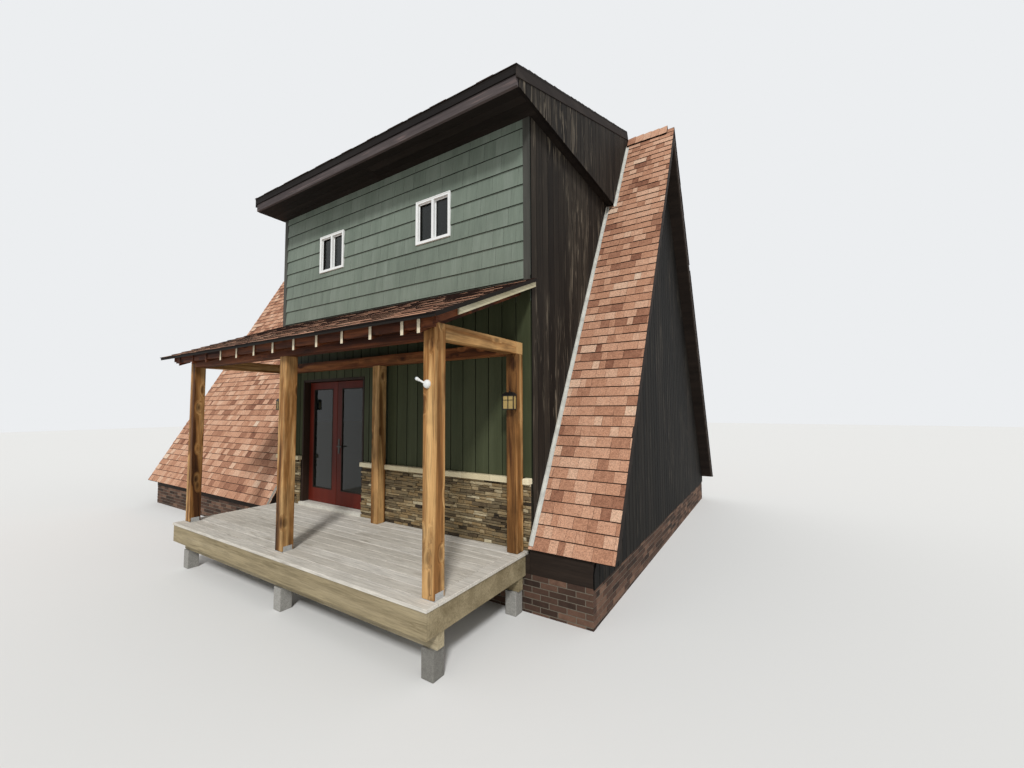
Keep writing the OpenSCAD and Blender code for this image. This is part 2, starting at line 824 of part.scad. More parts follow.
// A lantern on its back plate: tray, glass box, bars, hipped cap and knob
module lantern() {
    plate = 8;
    half = lantern_width / 2;
    front = -plate - lantern_depth;
    bar = 10;
    pane_top = lantern_height - bar;
    cap_slope = 26;
    cap_top = lantern_height + 34;
    knob = 9;
    block([-45, -plate, 20], [45, 0, lantern_height]);
    block([-half, front, 0], [half, -plate, bar]);
    block([-half, front, pane_top], [half, -plate, lantern_height]);
    block([-half + bar / 2, front + bar / 2, bar], [half - bar / 2, -plate, pane_top]);
    for (x = [-half, -bar / 2, half - bar])
        block([x, front, bar], [x + bar, front + bar, pane_top]);
    for (x = [-half, half - bar])
        block([x, -plate - bar, bar], [x + bar, -plate, pane_top]);
    intersection() {
        along_x(-half - bar, half + bar)
            polygon([[front - bar, lantern_height], [0, lantern_height],
                     [-cap_slope, cap_top], [front - bar + cap_slope, cap_top]]);
        along_y(front - bar, 0)
            polygon([[-half - bar, lantern_height], [half + bar, lantern_height],
                     [half - cap_slope, cap_top], [cap_slope - half, cap_top]]);
    }
    translate([0, front / 2, cap_top]) cylinder(r = knob / 2, h = knob);
    translate([0, front / 2, cap_top + 1.5 * knob]) sphere(r = knob);
}

// Wall lanterns on the two outer wall posts
module lanterns() {
    color("#1c1a18") site()
        for (x = [post_x[0], post_x[2]])
            translate([x, wall_post_y - post_size / 2, deck_height + lantern_rise]) lantern();
}

// A domed mount with one slim arm and a round lamp
module flood_light() {
    arm = 82;
    lamp = 16;
    color("white") site()
        translate([post_x[0] - 15, front_post_y - post_size / 2, deck_height + 1844]) {
            rotate([90, 0, 0])
                rotate_extrude() polygon([[0, 0], [38, 0], [38, 12], [31, 24], [17, 32], [0, 34]]);
            translate([-8, -20, 4]) rotate([60, 0, -50]) {
                cylinder(r = 9, h = arm);
                translate([0, 0, arm]) sphere(r = lamp);
            }
        }
}

foundation_walls();
sill_beams();
ground_floor();
upper_floor();
front_slopes();
back_slope();
ridge_cap();
gable_walls();
front_walls_beside_door();
front_wall_over_door();
upper_front_wall();
dormer_side_walls();
dormer_roof();
dormer_fascia();
dormer_soffit();
dormer_skirts();
dormer_rake_boards();
corner_boards();
window_frames();
window_glass();
door_frame();
door_threshold();
frame_hinges();
left_door_leaf();
left_door_glass();
left_door_hinges();
right_door_leaf();
right_door_glass();
right_door_hinges();
door_lever();
stone_wainscot();
wainscot_cap();
wall_flashing();
deck_boards();
deck_frame();
deck_girders();
deck_piers();
porch_posts();
post_bases();
front_beam();
side_beams();
wall_beam();
porch_rafters();
porch_blocking();
porch_roof();
porch_rake_boards();
lanterns();
flood_light();
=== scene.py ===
import bpy
import bmesh
import math
import random
from mathutils import Matrix, Vector


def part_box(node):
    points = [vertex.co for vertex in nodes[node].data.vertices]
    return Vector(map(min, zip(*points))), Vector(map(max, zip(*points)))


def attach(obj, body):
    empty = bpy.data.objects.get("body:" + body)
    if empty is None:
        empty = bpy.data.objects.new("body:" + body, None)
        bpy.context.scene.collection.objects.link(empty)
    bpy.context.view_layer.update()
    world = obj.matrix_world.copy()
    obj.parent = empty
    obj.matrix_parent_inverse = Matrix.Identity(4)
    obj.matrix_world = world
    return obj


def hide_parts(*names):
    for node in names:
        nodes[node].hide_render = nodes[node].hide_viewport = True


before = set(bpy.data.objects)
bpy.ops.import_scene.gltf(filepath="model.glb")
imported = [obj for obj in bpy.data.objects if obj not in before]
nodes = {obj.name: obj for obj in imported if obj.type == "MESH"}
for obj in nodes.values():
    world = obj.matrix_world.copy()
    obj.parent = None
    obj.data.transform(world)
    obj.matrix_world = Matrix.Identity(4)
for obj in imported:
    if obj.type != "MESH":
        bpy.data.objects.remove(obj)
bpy.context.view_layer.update()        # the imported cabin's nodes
print("frame loaded with", len(nodes), "nodes")

# Main planes and heights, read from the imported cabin
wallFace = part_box("front_wall_over_door")[0].y       # outer face of the front wall
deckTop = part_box("deck_boards")[1].z
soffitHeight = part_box("dormer_soffit")[0].z
xAxis, yAxis, zAxis = Vector((1, 0, 0)), Vector((0, 1, 0)), Vector((0, 0, 1))
sameSpot, nearSpot = 0.001, 0.01        # packed points closer than these count as one, or as neighbours


def endsOf(node):
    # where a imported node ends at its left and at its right
    low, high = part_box(node)
    return low.x, high.x


dormerLeft, dormerRight = endsOf("upper_front_wall")
leftRake, rightRake = endsOf("back_slope")
roofLeft, roofRight = endsOf("dormer_rake_boards")


# Colours and materials

def linear(c):
    return c / 12.92 if c <= 0.04045 else ((c + 0.055) / 1.055) ** 2.4


def srgb(*colour):
    # a 0 to 255 screen colour as the linear colour that shaders take
    return tuple(linear(c / 255) for c in colour) + (1,)


def add(tree, kind, sockets=None, **settings):
    # one shader node, with its settings and its sockets filled or wired
    node = tree.nodes.new("ShaderNode" + kind)
    for key, value in settings.items():
        setattr(node, key, value)
    for key, value in (sockets or {}).items():
        if isinstance(value, bpy.types.NodeSocket):
            tree.links.new(value, node.inputs[key])
        else:
            node.inputs[key].default_value = value
    return node


def newMaterial(name, roughness, metallic=0.0, specular=0.4):
    mat = bpy.data.materials.new(name)
    mat.use_nodes = True
    shader = mat.node_tree.nodes["Principled BSDF"]
    shader.inputs["Roughness"].default_value = roughness
    shader.inputs["Metallic"].default_value = metallic
    shader.inputs["Specular IOR Level"].default_value = specular
    return mat, mat.node_tree, shader


def calc(tree, operation, a, b):
    return add(tree, "Math", {0: a, 1: b}, operation=operation).outputs[0]


def times(tree, value, *others):
    for other in others:
        value = calc(tree, "MULTIPLY", value, other)
    return value


def mix(tree, factor, a, b, how="MIX"):
    return add(tree, "Mix", {0: factor, 6: a, 7: b}, data_type="RGBA", blend_type=how).outputs[2]


def ramp(tree, factor, stops):
    node = add(tree, "ValToRGB", {0: factor})
    colours = node.color_ramp.elements
    while len(colours) < len(stops):
        colours.new(0.5)
    for element, (position, colour) in zip(colours, stops):
        element.position = position
        element.color = colour
    return node.outputs[0]


def grey(value):
    return (value, value, value, 1)


def darker(colour, share):
    return tuple(c * share for c in colour[:3]) + (1,)


def mask(tree, pattern, low, high):
    # nothing below one value of a pattern, everything above the other
    return ramp(tree, pattern, [(low, grey(0)), (high, grey(1))])


def shaded(tree, share, colour, pattern, low, high, dark):
    # a colour that goes darker where a pattern is low
    return mix(tree, share, colour, ramp(tree, pattern, [(low, grey(dark)), (high, grey(1))]), "MULTIPLY")


def shadeOf(tree, name="shade"):
    # the number that each board, tab or stone carries
    return add(tree, "Attribute", attribute_name=name).outputs["Fac"]


def nudged(tree, spot, away):
    step = add(tree, "CombineXYZ", {0: away, 1: away, 2: away}).outputs[0]
    return add(tree, "VectorMath", {0: spot, 1: step}, operation="ADD").outputs[0]


def place(tree, stretch=(1, 1, 1), shift=0.0):
    # object coordinates, stretched along the grain and moved on by each board's own number
    spot = add(tree, "TexCoord").outputs["Object"]
    if shift:
        spot = nudged(tree, spot, times(tree, shadeOf(tree), shift))
    return add(tree, "Mapping", {"Vector": spot, "Scale": stretch}).outputs[0]


def noise(tree, spot, scale, detail=4, rough=0.55, bend=0.0):
    return add(tree, "TexNoise", {"Vector": spot, "Scale": scale, "Detail": detail,
                                  "Roughness": rough, "Distortion": bend}).outputs["Fac"]


def finished(tree, shader, colour, height=None, strength=0.0, depth=0.0):
    # the colour into the shader, and where a height is given the bump too
    tree.links.new(colour, shader.inputs["Base Color"])
    if height is not None:
        node = add(tree, "Bump", {"Height": height, "Strength": strength, "Distance": depth})
        tree.links.new(node.outputs[0], shader.inputs["Normal"])


# scales are per metre, or shares of the fine grain; shares say how far a pattern darkens the colour
# edge sets how dark the painted shade on the board edges is, as a share of the dark tone
boardLook = {"shift": 7.3, "streaks": 0.13, "patches": 1.7, "patchShare": 0.25, "edge": 0.15, "bump": 0.5,
             "wearAndSunStreaks": 0.3, "wearAndSunStreakGaps": 1.3, "wearAndSunStreakShare": 0.7, "wearAndSunStreakLeast": 0.02}


def boardMaterial(name, tones, grain, roughness=0.7, fine=60, wear=0.35, streak=0.4, depth=0.0015, pale=None):
    # sawn or painted boards: long grain, weather streaks and a tone of its own for each board
    dark, mid, light = [srgb(*tone) for tone in tones]
    mat, tree, shader = newMaterial(name, roughness, specular=0.15 if roughness < 0.7 else 0.1)
    look = boardLook
    spot = place(tree, grain, look["shift"])
    lines = noise(tree, spot, fine, 6, 0.65, 0.6)
    streaks = noise(tree, spot, fine * look["streaks"], 3, 0.5, 0.3)
    patches = noise(tree, place(tree), look["patches"], 3)
    level = calc(tree, "ADD", times(tree, shadeOf(tree), wear), times(tree, streaks, 1 - wear))
    # the lowest stop is painted shade, for the board edges set below every tone
    tone = ramp(tree, level, [(0.0, darker(dark, look["edge"])), (0.18, dark), (0.5, mid), (0.8, light)])
    if pale:
        # long pale streaks, thin and broken, and none on the edges painted near black as shade; they are
        # weathering, and on the dark wall boards partly painted patches of sunlight
        run = mask(tree, noise(tree, spot, fine * look["wearAndSunStreaks"], 4, 0.6, 1.4), 0.55, 0.66)
        gate = mask(tree, noise(tree, place(tree, (1, 1, 0.5)), look["wearAndSunStreakGaps"], 2), 0.42, 0.58)
        onFace = calc(tree, "GREATER_THAN", level, look["wearAndSunStreakLeast"])
        tone = mix(tree, times(tree, run, gate, onFace, look["wearAndSunStreakShare"]), tone, srgb(*pale))
    lined = shaded(tree, streak, tone, lines, 0.3, 0.62, 0.25)
    shown = shaded(tree, look["patchShare"], lined, patches, 0.3, 0.7, 0.5)
    finished(tree, shader, shown, lines, look["bump"], depth)
    return mat


timberLook = {"roughness": 0.62, "knots": 6.5, "knotDark": 0.16, "pull": 0.045, "figure": 7, "growth": 34,
              "growthShare": 0.55, "fibre": 130, "fibreShare": 0.3, "stain": 2.6, "stainShare": 0.6,
              "cracks": 5, "crackGaps": 2.3, "crackDark": 0.12, "crackDepth": 4.0, "tipRings": 60,
              "tipShare": 0.4, "bump": 0.6, "depth": 0.002}


def timberMaterial(name, tones, grain, knots=0.9, cracks=0.8, tip=None):
    # squared timber: growth lines that bend round dark knots, drying cracks and paler cut ends
    dark, mid, light = [srgb(*tone) for tone in tones]
    look = timberLook
    mat, tree, shader = newMaterial(name, look["roughness"], specular=0.15)
    cells = tuple(0.45 + 0.55 * g for g in grain)
    ring = add(tree, "TexVoronoi", {"Vector": place(tree, cells, 3.7), "Scale": look["knots"]},
               feature="F1").outputs
    holds = mask(tree, add(tree, "SeparateColor", {0: ring["Color"]}).outputs[0], 0.3, 0.34)
    near = ramp(tree, ring["Distance"], [(0.04, grey(1)), (0.4, grey(0))])
    spot = nudged(tree, place(tree, grain, 5.1), times(tree, near, holds, look["pull"]))
    figure = noise(tree, spot, look["figure"], 4, 0.55, 0.9)
    growth = noise(tree, spot, look["growth"], 3, 0.6, 0.5)
    fibre = noise(tree, spot, look["fibre"], 4, 0.7)
    stain = noise(tree, place(tree, cells, 2.3), look["stain"], 4, 0.6)
    shown = ramp(tree, figure, [(0.33, dark), (0.47, mid), (0.62, light)])
    shown = shaded(tree, look["growthShare"], shown, growth, 0.36, 0.52, 0.35)
    shown = shaded(tree, look["fibreShare"], shown, fibre, 0.3, 0.6, 0.4)
    shown = shaded(tree, look["stainShare"], shown, stain, 0.38, 0.53, 0.36)
    core = ramp(tree, ring["Distance"], [(0.05, grey(1)), (0.12, grey(0.7)), (0.27, grey(0))])
    shown = mix(tree, times(tree, core, holds, knots), shown, darker(dark, look["knotDark"]))
    line = noise(tree, spot, look["cracks"], 2, 0.5)
    split = ramp(tree, line, [(0.492, grey(0)), (0.5, grey(1)), (0.508, grey(0))])
    gate = mask(tree, noise(tree, place(tree, grain, 9.1), look["crackGaps"], 2), 0.57, 0.62)
    crack = times(tree, split, gate, cracks)
    shown = mix(tree, crack, shown, darker(dark, look["crackDark"]))
    if tip:
        rings = noise(tree, place(tree), look["tipRings"], 4, 0.6, 1.5)
        cutEnd = shaded(tree, look["tipShare"], srgb(*tip), rings, 0.35, 0.6, 0.5)
        shown = mix(tree, shadeOf(tree, "tip"), shown, cutEnd)
    height = calc(tree, "SUBTRACT", calc(tree, "ADD", growth, fibre), times(tree, crack, look["crackDepth"]))
    finished(tree, shader, shown, height, look["bump"], look["depth"])
    return mat


tileLook = {"shift": 9.7, "blots": 0.08, "coarse": 0.27, "blotHeight": 1.5, "bump": 0.6}


def tileMaterial(name, tones, fine, depth, roughness=0.85, speckle=0.5, blotch=0.3, grit=0.0):
    # shingles, bricks and stones: a tone for each, with specks and blotches on it
    look = tileLook
    mat, tree, shader = newMaterial(name, roughness, specular=0.2)
    spot = place(tree, (1, 1, 1), look["shift"])
    specks = noise(tree, spot, fine, 3, 0.7)
    blots = noise(tree, spot, fine * look["blots"], 4, 0.6, 0.5)
    uneven = times(tree, calc(tree, "SUBTRACT", blots, 0.5), blotch)
    level = calc(tree, "ADD", shadeOf(tree), uneven)
    shown = ramp(tree, level, [(position, srgb(*colour)) for position, colour in tones])
    shown = shaded(tree, speckle, shown, specks, 0.32, 0.66, 0.35)
    if grit:
        # coarser specks that still read from further off
        coarse = noise(tree, spot, fine * look["coarse"], 3, 0.75)
        shown = shaded(tree, grit, shown, coarse, 0.36, 0.6, 0.3)
    height = calc(tree, "ADD", specks, times(tree, blots, look["blotHeight"]))
    finished(tree, shader, shown, height, look["bump"], depth)
    return mat


def metalMaterial(name, colour, roughness, metallic, spots=0.3, scale=14, specular=0.5):
    # metal and moulded parts: one colour with soft clouds of wear
    mat, tree, shader = newMaterial(name, roughness, metallic, specular)
    cloud = noise(tree, place(tree), scale, 5, 0.6)
    finished(tree, shader, shaded(tree, spots, srgb(*colour), cloud, 0.35, 0.65, 0.35), cloud, 0.15, 0.001)
    return mat


def glassMaterial(name, tint, roughness, clear, specular):
    mat, tree, shader = newMaterial(name, roughness, specular=specular)
    shader.inputs["Transmission Weight"].default_value = clear
    shader.inputs["IOR"].default_value = 1.45
    finished(tree, shader, shaded(tree, 0.4, srgb(*tint), noise(tree, place(tree), 3.0, 3), 0.3, 0.7, 0.4))
    return mat


alongX, alongY, alongZ = (0.06, 1, 1), (1, 0.06, 1), (1, 1, 0.06)
# the two darkest stops are painted shade, for the shadow lines and edges of the shingles
shingleTones = [(0.0, (40, 26, 21)), (0.07, (58, 38, 30)), (0.2, (146, 98, 76)), (0.45, (199, 147, 117)),
                (0.62, (217, 168, 138)), (0.82, (231, 191, 162)), (1.0, (238, 210, 184))]
stoneTones = [(0.0, (54, 46, 36)), (0.25, (94, 80, 60)), (0.45, (119, 106, 82)), (0.62, (140, 117, 82)),
              (0.82, (166, 150, 118)), (1.0, (198, 186, 156))]
brickTones = [(0.0, (50, 38, 32)), (0.4, (78, 58, 48)), (0.75, (98, 73, 60)), (1.0, (124, 96, 79))]
honey = ((76, 45, 22), (148, 103, 57), (211, 168, 112))
amberBrown = ((70, 37, 18), (124, 72, 38), (164, 106, 62))
rust = ((48, 23, 12), (84, 42, 21), (118, 67, 39))
board, timber, tile, metal = boardMaterial, timberMaterial, tileMaterial, metalMaterial
materials = {
    "shingles": tile("weathered_shingles", shingleTones, 240, 0.0012, 0.9, 0.45, 0.3, 0.62),
    "ledgestone": tile("split_ledgestone", stoneTones, 90, 0.003, 0.85, 0.45, 0.5),
    "brick": tile("dark_red_brick", brickTones, 140, 0.0015, 0.9, 0.45, 0.5),
    "mortar": tile("pale_mortar", [(0, (98, 91, 80)), (1, (134, 126, 112))], 200, 0.001),
    "concrete": tile("cast_concrete", [(0, (120, 118, 112)), (1, (168, 166, 160))], 120, 0.001, grit=0.25),
    "cap": tile("pale_cap_stone", [(0, (204, 190, 154)), (1, (238, 228, 196))], 110, 0.001, 0.8, 0.3),
    "stoneBed": tile("dark_stone_bed", [(0, (40, 35, 30)), (1, (70, 62, 54))], 120, 0.001),
    # the pale streaks on these boards are partly weathering and partly painted patches of sunlight
    "darkBoards": board("dark_boards_weathered_and_sun_streaked", ((24, 21, 19), (38, 34, 30), (61, 55, 48)), alongZ,
                        pale=(142, 131, 114)),
    # a darker copy of the dormer wall boards, painted shade for the gable that stands in shade, its pale
    # streaks dimmed to match
    "paintedShadeGableBoards": board("gable_boards_in_painted_shade", ((15, 13, 12), (24, 22, 19), (38, 34, 30)), alongZ,
                         pale=(88, 80, 70)),
    "sageBoards": board("sage_lap_boards", ((104, 115, 104), (116, 127, 115), (128, 138, 127)), alongZ,
                        0.55, 50, 0.2, 0.22),
    "oliveBoards": board("olive_grooved_boards", ((54, 59, 39), (66, 71, 49), (78, 83, 60)), alongZ,
                         0.6, 50, 0.25, 0.2),
    "greyTrim": board("grey_corner_boards", ((56, 56, 52), (72, 72, 67), (92, 92, 86)), alongZ,
                      0.6, 60, 0.3, 0.3),
    "fascia": board("weathered_fascia", ((46, 41, 41), (67, 60, 60), (98, 90, 89)), alongX,
                    pale=(136, 117, 112)),
    "edgeBoards": board("near_black_roof_edge", ((26, 23, 22), (38, 34, 32), (56, 50, 47)), alongX),
    "rake": board("dark_rake_boards", ((32, 28, 26), (48, 42, 39), (72, 65, 60)), alongY),
    "soffit": board("near_black_soffit", ((22, 19, 17), (33, 29, 26), (46, 41, 37)), alongX),
    "barge": board("dark_barge_boards", ((34, 28, 25), (50, 42, 37), (72, 62, 55)), alongY),
    "sill": board("dark_sill_timber", ((34, 28, 24), (50, 41, 35), (72, 62, 53)), alongX),
    "floorWood": board("plain_floor_boards", ((130, 98, 66), (158, 122, 84), (182, 148, 108)), alongX),
    "deck": board("pale_weathered_deck", ((188, 181, 168), (212, 206, 194), (226, 221, 211)), alongX,
                  0.8, 70, 0.35, 0.5, pale=(160, 150, 134)),
    "rim": board("tan_rim_boards", ((128, 115, 88), (164, 150, 120), (190, 178, 150)), alongX,
                 0.75, 60, 0.3, 0.5, pale=(116, 104, 78)),
    "paleRake": board("pale_rake_boards", ((168, 158, 124), (194, 186, 152), (212, 206, 178)), alongY,
                      0.7, 60, 0.3, 0.5),
    "post": timber("honey_posts", honey, alongZ),
    "beamX": timber("amber_brown_wall_beam", amberBrown, alongX, 0.6, 0.5, (192, 152, 100)),
    "beamY": timber("honey_beams_across", honey, alongY),
    "brownX": timber("brown_front_beam", rust, alongX, 0.5, 0.6),
    # the pale tip colour is cut end grain with painted sunlight on it
    "brownY": timber("brown_rafters", rust, alongY, 0.3, 0.4, (216, 204, 178)),
    "roofPlanks": board("dark_roof_planks", ((44, 28, 20), (66, 42, 30), (90, 60, 44)), alongX),
    "doorRed": board("brick_red_door_paint", ((74, 25, 17), (94, 32, 21), (112, 44, 31)), alongZ,
                     0.46, 45, 0.2, 0.15, 0.0006),
    "frameBrown": board("dark_door_frame", ((34, 24, 19), (47, 34, 27), (66, 51, 42)), alongZ,
                        0.5, 60, 0.3, 0.3),
    "whiteFrame": metal("white_window_frame", (226, 228, 226), 0.4, 0.0, 0.06, 9),
    "flashing": metal("pale_flashing", (200, 200, 192), 0.55, 0.0, 0.4, 9),
    "threshold": metal("pale_threshold", (214, 211, 200), 0.5, 0.1, 0.25),
    "lever": metal("dark_lever_metal", (66, 63, 60), 0.28, 0.9, 0.2),
    "steel": metal("satin_nickel", (196, 194, 188), 0.3, 1.0, 0.15),
    "shoe": metal("galvanised_shoe", (192, 193, 192), 0.5, 0.5, 0.3, 30),
    "black": metal("black_lantern_metal", (24, 22, 21), 0.45, 0.3, 0.3),
    "lampWhite": metal("white_lamp_body", (216, 217, 214), 0.35, 0.0, 0.08),
    "lens": metal("frosted_lamp_lens", (168, 176, 182), 0.2, 0.0, 0.1),
    "glass": glassMaterial("dark_window_glass", (52, 60, 56), 0.03, 0.8, 0.12),
    "amber": glassMaterial("amber_glass", (200, 172, 108), 0.3, 0.25, 0.3),
    "dripEdge": metal("dark_drip_edge", (30, 26, 23), 0.7, 0.0, 0.3, specular=0.12),
}
print("materials ready:", len(materials))

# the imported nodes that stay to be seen; the others take the finish of the piece that replaces them
nodeFinishes = {
    "floorWood": "ground_floor upper_floor",
    "paintedShadeGableBoards": "gable_walls",
    "oliveBoards": "front_walls_beside_door front_wall_over_door",
    "sageBoards": "upper_front_wall",
    "darkBoards": "dormer_side_walls",
    "edgeBoards": "dormer_roof",
    "soffit": "dormer_skirts",
    "glass": "window_glass left_door_glass right_door_glass",
    "threshold": "door_threshold",
    "steel": "frame_hinges left_door_hinges right_door_hinges",
    "lever": "door_lever",
    "black": "lanterns",
    "lampWhite": "flood_light",
}


def finish(mesh, name):
    mesh.materials.clear()
    mesh.materials.append(materials[name])


for name, listed in nodeFinishes.items():
    for node in listed.split():
        finish(nodes[node].data, name)


# Closed solids and the pieces made of them

plainShade = 0.5        # for a piece in one even tone
# anything smaller than these is left out; a run shorter than its share of the short one joins its neighbour
slivers = {"chamfer": 0.0003, "chamferShare": 0.3, "cell": 0.001, "board": 0.004, "edge": 0.0005,
           "runShare": 0.4}


def newStock():
    return {"points": [], "faces": [], "shades": []}


def addSolid(stock, points, faces, shades):
    first = len(stock["points"])
    stock["points"] += [tuple(p) for p in points]
    stock["faces"] += [tuple(first + i for i in face) for face in faces]
    stock["shades"] += shades if isinstance(shades, list) else [shades] * len(faces)


def ringFaces(first, second, n):
    # the four-sided faces between two rings of n points
    return [(first + i, second + i, second + (i + 1) % n, first + (i + 1) % n) for i in range(n)]


def addPrism(stock, outline, push, shade=plainShade, edgeShade=None):
    # a flat outline, counter-clockwise as seen from outside, pushed back into a closed solid
    n = len(outline)
    edge = shade if edgeShade is None else edgeShade
    faces = [tuple(range(n)), tuple(range(2 * n - 1, n - 1, -1))] + ringFaces(0, n, n)
    addSolid(stock, list(outline) + [p + push for p in outline], faces, [shade, edge] + [edge] * n)


def addChamfered(stock, outline, push, chamfer, shade, edgeShade=None):
    # as addPrism, with the front edges taken off
    n = len(outline)
    edge = shade if edgeShade is None else edgeShade
    sides = [(outline[(i + 1) % n] - outline[i]) for i in range(n)]
    cut = min([chamfer] + [s.length * slivers["chamferShare"] for s in sides])
    if cut < slivers["chamfer"]:
        return addPrism(stock, outline, push, shade, edgeShade)
    top = [outline[i] + (sides[i].normalized() - sides[i - 1].normalized()) * cut for i in range(n)]
    ring = [p + push.normalized() * cut for p in outline]
    back = [p + push for p in outline]
    faces = [tuple(range(n)), tuple(range(3 * n - 1, 2 * n - 1, -1))] + ringFaces(0, n, n)
    faces += ringFaces(n, 2 * n, n)
    addSolid(stock, top + ring + back, faces, [shade, edge] + [shade] * n + [edge] * n)


def addHex(stock, corners, shade, edgeShade=None):
    # eight corners: four underneath counter-clockwise from outside, then the four above them
    edge = shade if edgeShade is None else edgeShade
    faces = [(4, 5, 6, 7), (3, 2, 1, 0), (0, 1, 5, 4), (1, 2, 6, 5), (2, 3, 7, 6), (3, 0, 4, 7)]
    addSolid(stock, corners, faces, [shade] + [edge] * 5)


def addBox(stock, low, high, shade=plainShade, chamfer=0.0):
    low, high = Vector(low), Vector(high)
    outline = [Vector((*p, high.z)) for p in rectangle((low.x, low.y, high.x, high.y))]
    addChamfered(stock, outline, Vector((0, 0, low.z - high.z)), chamfer, shade)


def addRod(stock, start, end, radius, sides, shade=plainShade, endRadius=None):
    # a round bar between two points, tapered where a second radius is given
    start, end = Vector(start), Vector(end)
    turn = (end - start).to_track_quat("Z", "Y")
    tip = radius if endRadius is None else endRadius
    angles = [2 * math.pi * i / sides for i in range(sides)]
    ring = [Vector((math.cos(a), math.sin(a), 0)) for a in angles]
    points = [start + turn @ (p * radius) for p in ring] + [end + turn @ (p * tip) for p in ring]
    faces = [tuple(range(sides - 1, -1, -1)), tuple(range(sides, 2 * sides))]
    faces += [(i, (i + 1) % sides, (i + 1) % sides + sides, i + sides) for i in range(sides)]
    addSolid(stock, points, faces, shade)


def clip(outline, axis, low, high):
    # the part of a flat outline between two lines
    for sign, line in ((1, low), (-1, high)):
        kept = []
        for i, here in enumerate(outline):
            last = outline[i - 1]
            insideHere, insideLast = sign * (here[axis] - line) >= 0, sign * (last[axis] - line) >= 0
            if insideHere != insideLast:
                share = (line - last[axis]) / (here[axis] - last[axis])
                kept.append(tuple(last[k] + share * (here[k] - last[k]) for k in range(2)))
            if insideHere:
                kept.append(tuple(here))
        outline = kept
    return outline


def without(cells, hole):
    # rectangles (left, low, right, high) with a rectangular hole taken out
    left, low, right, high = hole
    kept = []
    for a, b, c, d in cells:
        if right <= a or left >= c or high <= b or low >= d:
            kept.append((a, b, c, d))
            continue
        for part in ((a, b, left, d), (right, b, c, d),
                     (max(a, left), b, min(c, right), low), (max(a, left), high, min(c, right), d)):
            if min(part[2] - part[0], part[3] - part[1]) > slivers["cell"]:
                kept.append(part)
    return kept


def rectangle(cell):
    a, b, c, d = cell
    return [(a, b), (c, b), (c, d), (a, d)]


def spanOf(points):
    # the rectangle round a flat outline
    across, up = zip(*points)
    return min(across), min(up), max(across), max(up)


def facing(origin, across, up=zAxis):
    # a flat side to build on: its corner, its directions and the way it faces
    across, up = Vector(across).normalized(), Vector(up).normalized()
    return {"origin": Vector(origin), "across": across, "up": up, "out": across.cross(up)}


def at(side, a, b, c=0.0):
    return side["origin"] + side["across"] * a + side["up"] * b + side["out"] * c


def flat(side, cell, out=0.0):
    # the corners of a rectangle on a side, at a height over it
    return [at(side, a, b, out) for a, b in rectangle(cell)]


def addPanel(stock, side, cell, near, far, shade=plainShade, chamfer=0.0):
    # a rectangle on a side as a solid, from one height over it down to another
    addChamfered(stock, flat(side, cell, near), side["out"] * (far - near), chamfer, shade)


def linked(name, data):
    obj = bpy.data.objects.new(name, data)
    bpy.context.scene.collection.objects.link(obj)
    return obj


def setPiece(name, mesh, look, slot, body="root", stands=()):
    # a visible piece with its finish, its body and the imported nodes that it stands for
    finish(mesh, look)
    obj = linked(name, mesh)
    for node in stands:
        finish(nodes[node].data, look)
    if stands:
        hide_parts(*stands)
    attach(obj, body)
    return obj


def makePiece(name, stock, look, slot, body="root", stands=()):
    mesh = bpy.data.meshes.new(name)
    mesh.from_pydata(stock["points"], [], stock["faces"])
    mesh.attributes.new("shade", "FLOAT", "FACE").data.foreach_set("value", stock["shades"])
    return setPiece(name, mesh, look, slot, body, stands)


def solidsOf(shape):
    # the face numbers of each separate solid of a shape
    waiting = set(range(len(shape.faces)))
    while waiting:
        solid, edge = set(), [min(waiting)]
        while edge:
            index = edge.pop()
            if index in solid:
                continue
            solid.add(index)
            edge += [f.index for v in shape.faces[index].verts for f in v.link_faces if f.index not in solid]
        waiting -= solid
        yield solid


softening = {"weld": 0.0001, "flat": 1, "sharp": 30, "steps": 2, "profile": 0.6, "endWay": 0.9}


def softened(node, name, width, look, slot, rng, body="root", grain=None):
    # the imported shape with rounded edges, a tone for each solid and marked ends across the grain
    shape = bmesh.new()
    shape.from_mesh(nodes[node].data)
    bmesh.ops.remove_doubles(shape, verts=shape.verts, dist=softening["weld"])
    bmesh.ops.dissolve_limit(shape, angle_limit=math.radians(softening["flat"]), verts=shape.verts,
                             edges=shape.edges)
    least = math.radians(softening["sharp"])
    sharp = [e for e in shape.edges if len(e.link_faces) == 2 and e.calc_face_angle(0) > least]
    bmesh.ops.bevel(shape, geom=sharp, offset=width, segments=softening["steps"],
                    profile=softening["profile"], affect="EDGES", clamp_overlap=True)
    shape.faces.ensure_lookup_table()
    tones, tips = [plainShade] * len(shape.faces), [0.0] * len(shape.faces)
    for solid in solidsOf(shape):
        tone = rng.random()
        for index in solid:
            tones[index] = tone
            if grain and abs(shape.faces[index].normal.dot(grain)) > softening["endWay"]:
                tips[index] = 1.0
    mesh = bpy.data.meshes.new(name)
    shape.to_mesh(mesh)
    shape.free()
    mesh.attributes.new("shade", "FLOAT", "FACE").data.foreach_set("value", tones)
    mesh.attributes.new("tip", "FLOAT", "FACE").data.foreach_set("value", tips)
    return setPiece(name, mesh, look, slot, body, [node])


def corner(node, *aim):
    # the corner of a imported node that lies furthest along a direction
    aim = Vector(aim)
    return max((v.co for v in nodes[node].data.vertices), key=lambda p: p.dot(aim)).copy()


def atX(x, point):
    return Vector((x, point.y, point.z))


def runs(length, size, rng):
    # random lengths, short to long, that fill a row, the last one cut to fit
    marks = [0.0]
    while marks[-1] < length:
        marks.append(marks[-1] + rng.uniform(size["short"], size["long"]))
    marks[-1] = length
    if len(marks) > 2 and marks[-1] - marks[-2] < size["short"] * slivers["runShare"]:
        del marks[-2]
    return list(zip(marks, marks[1:]))


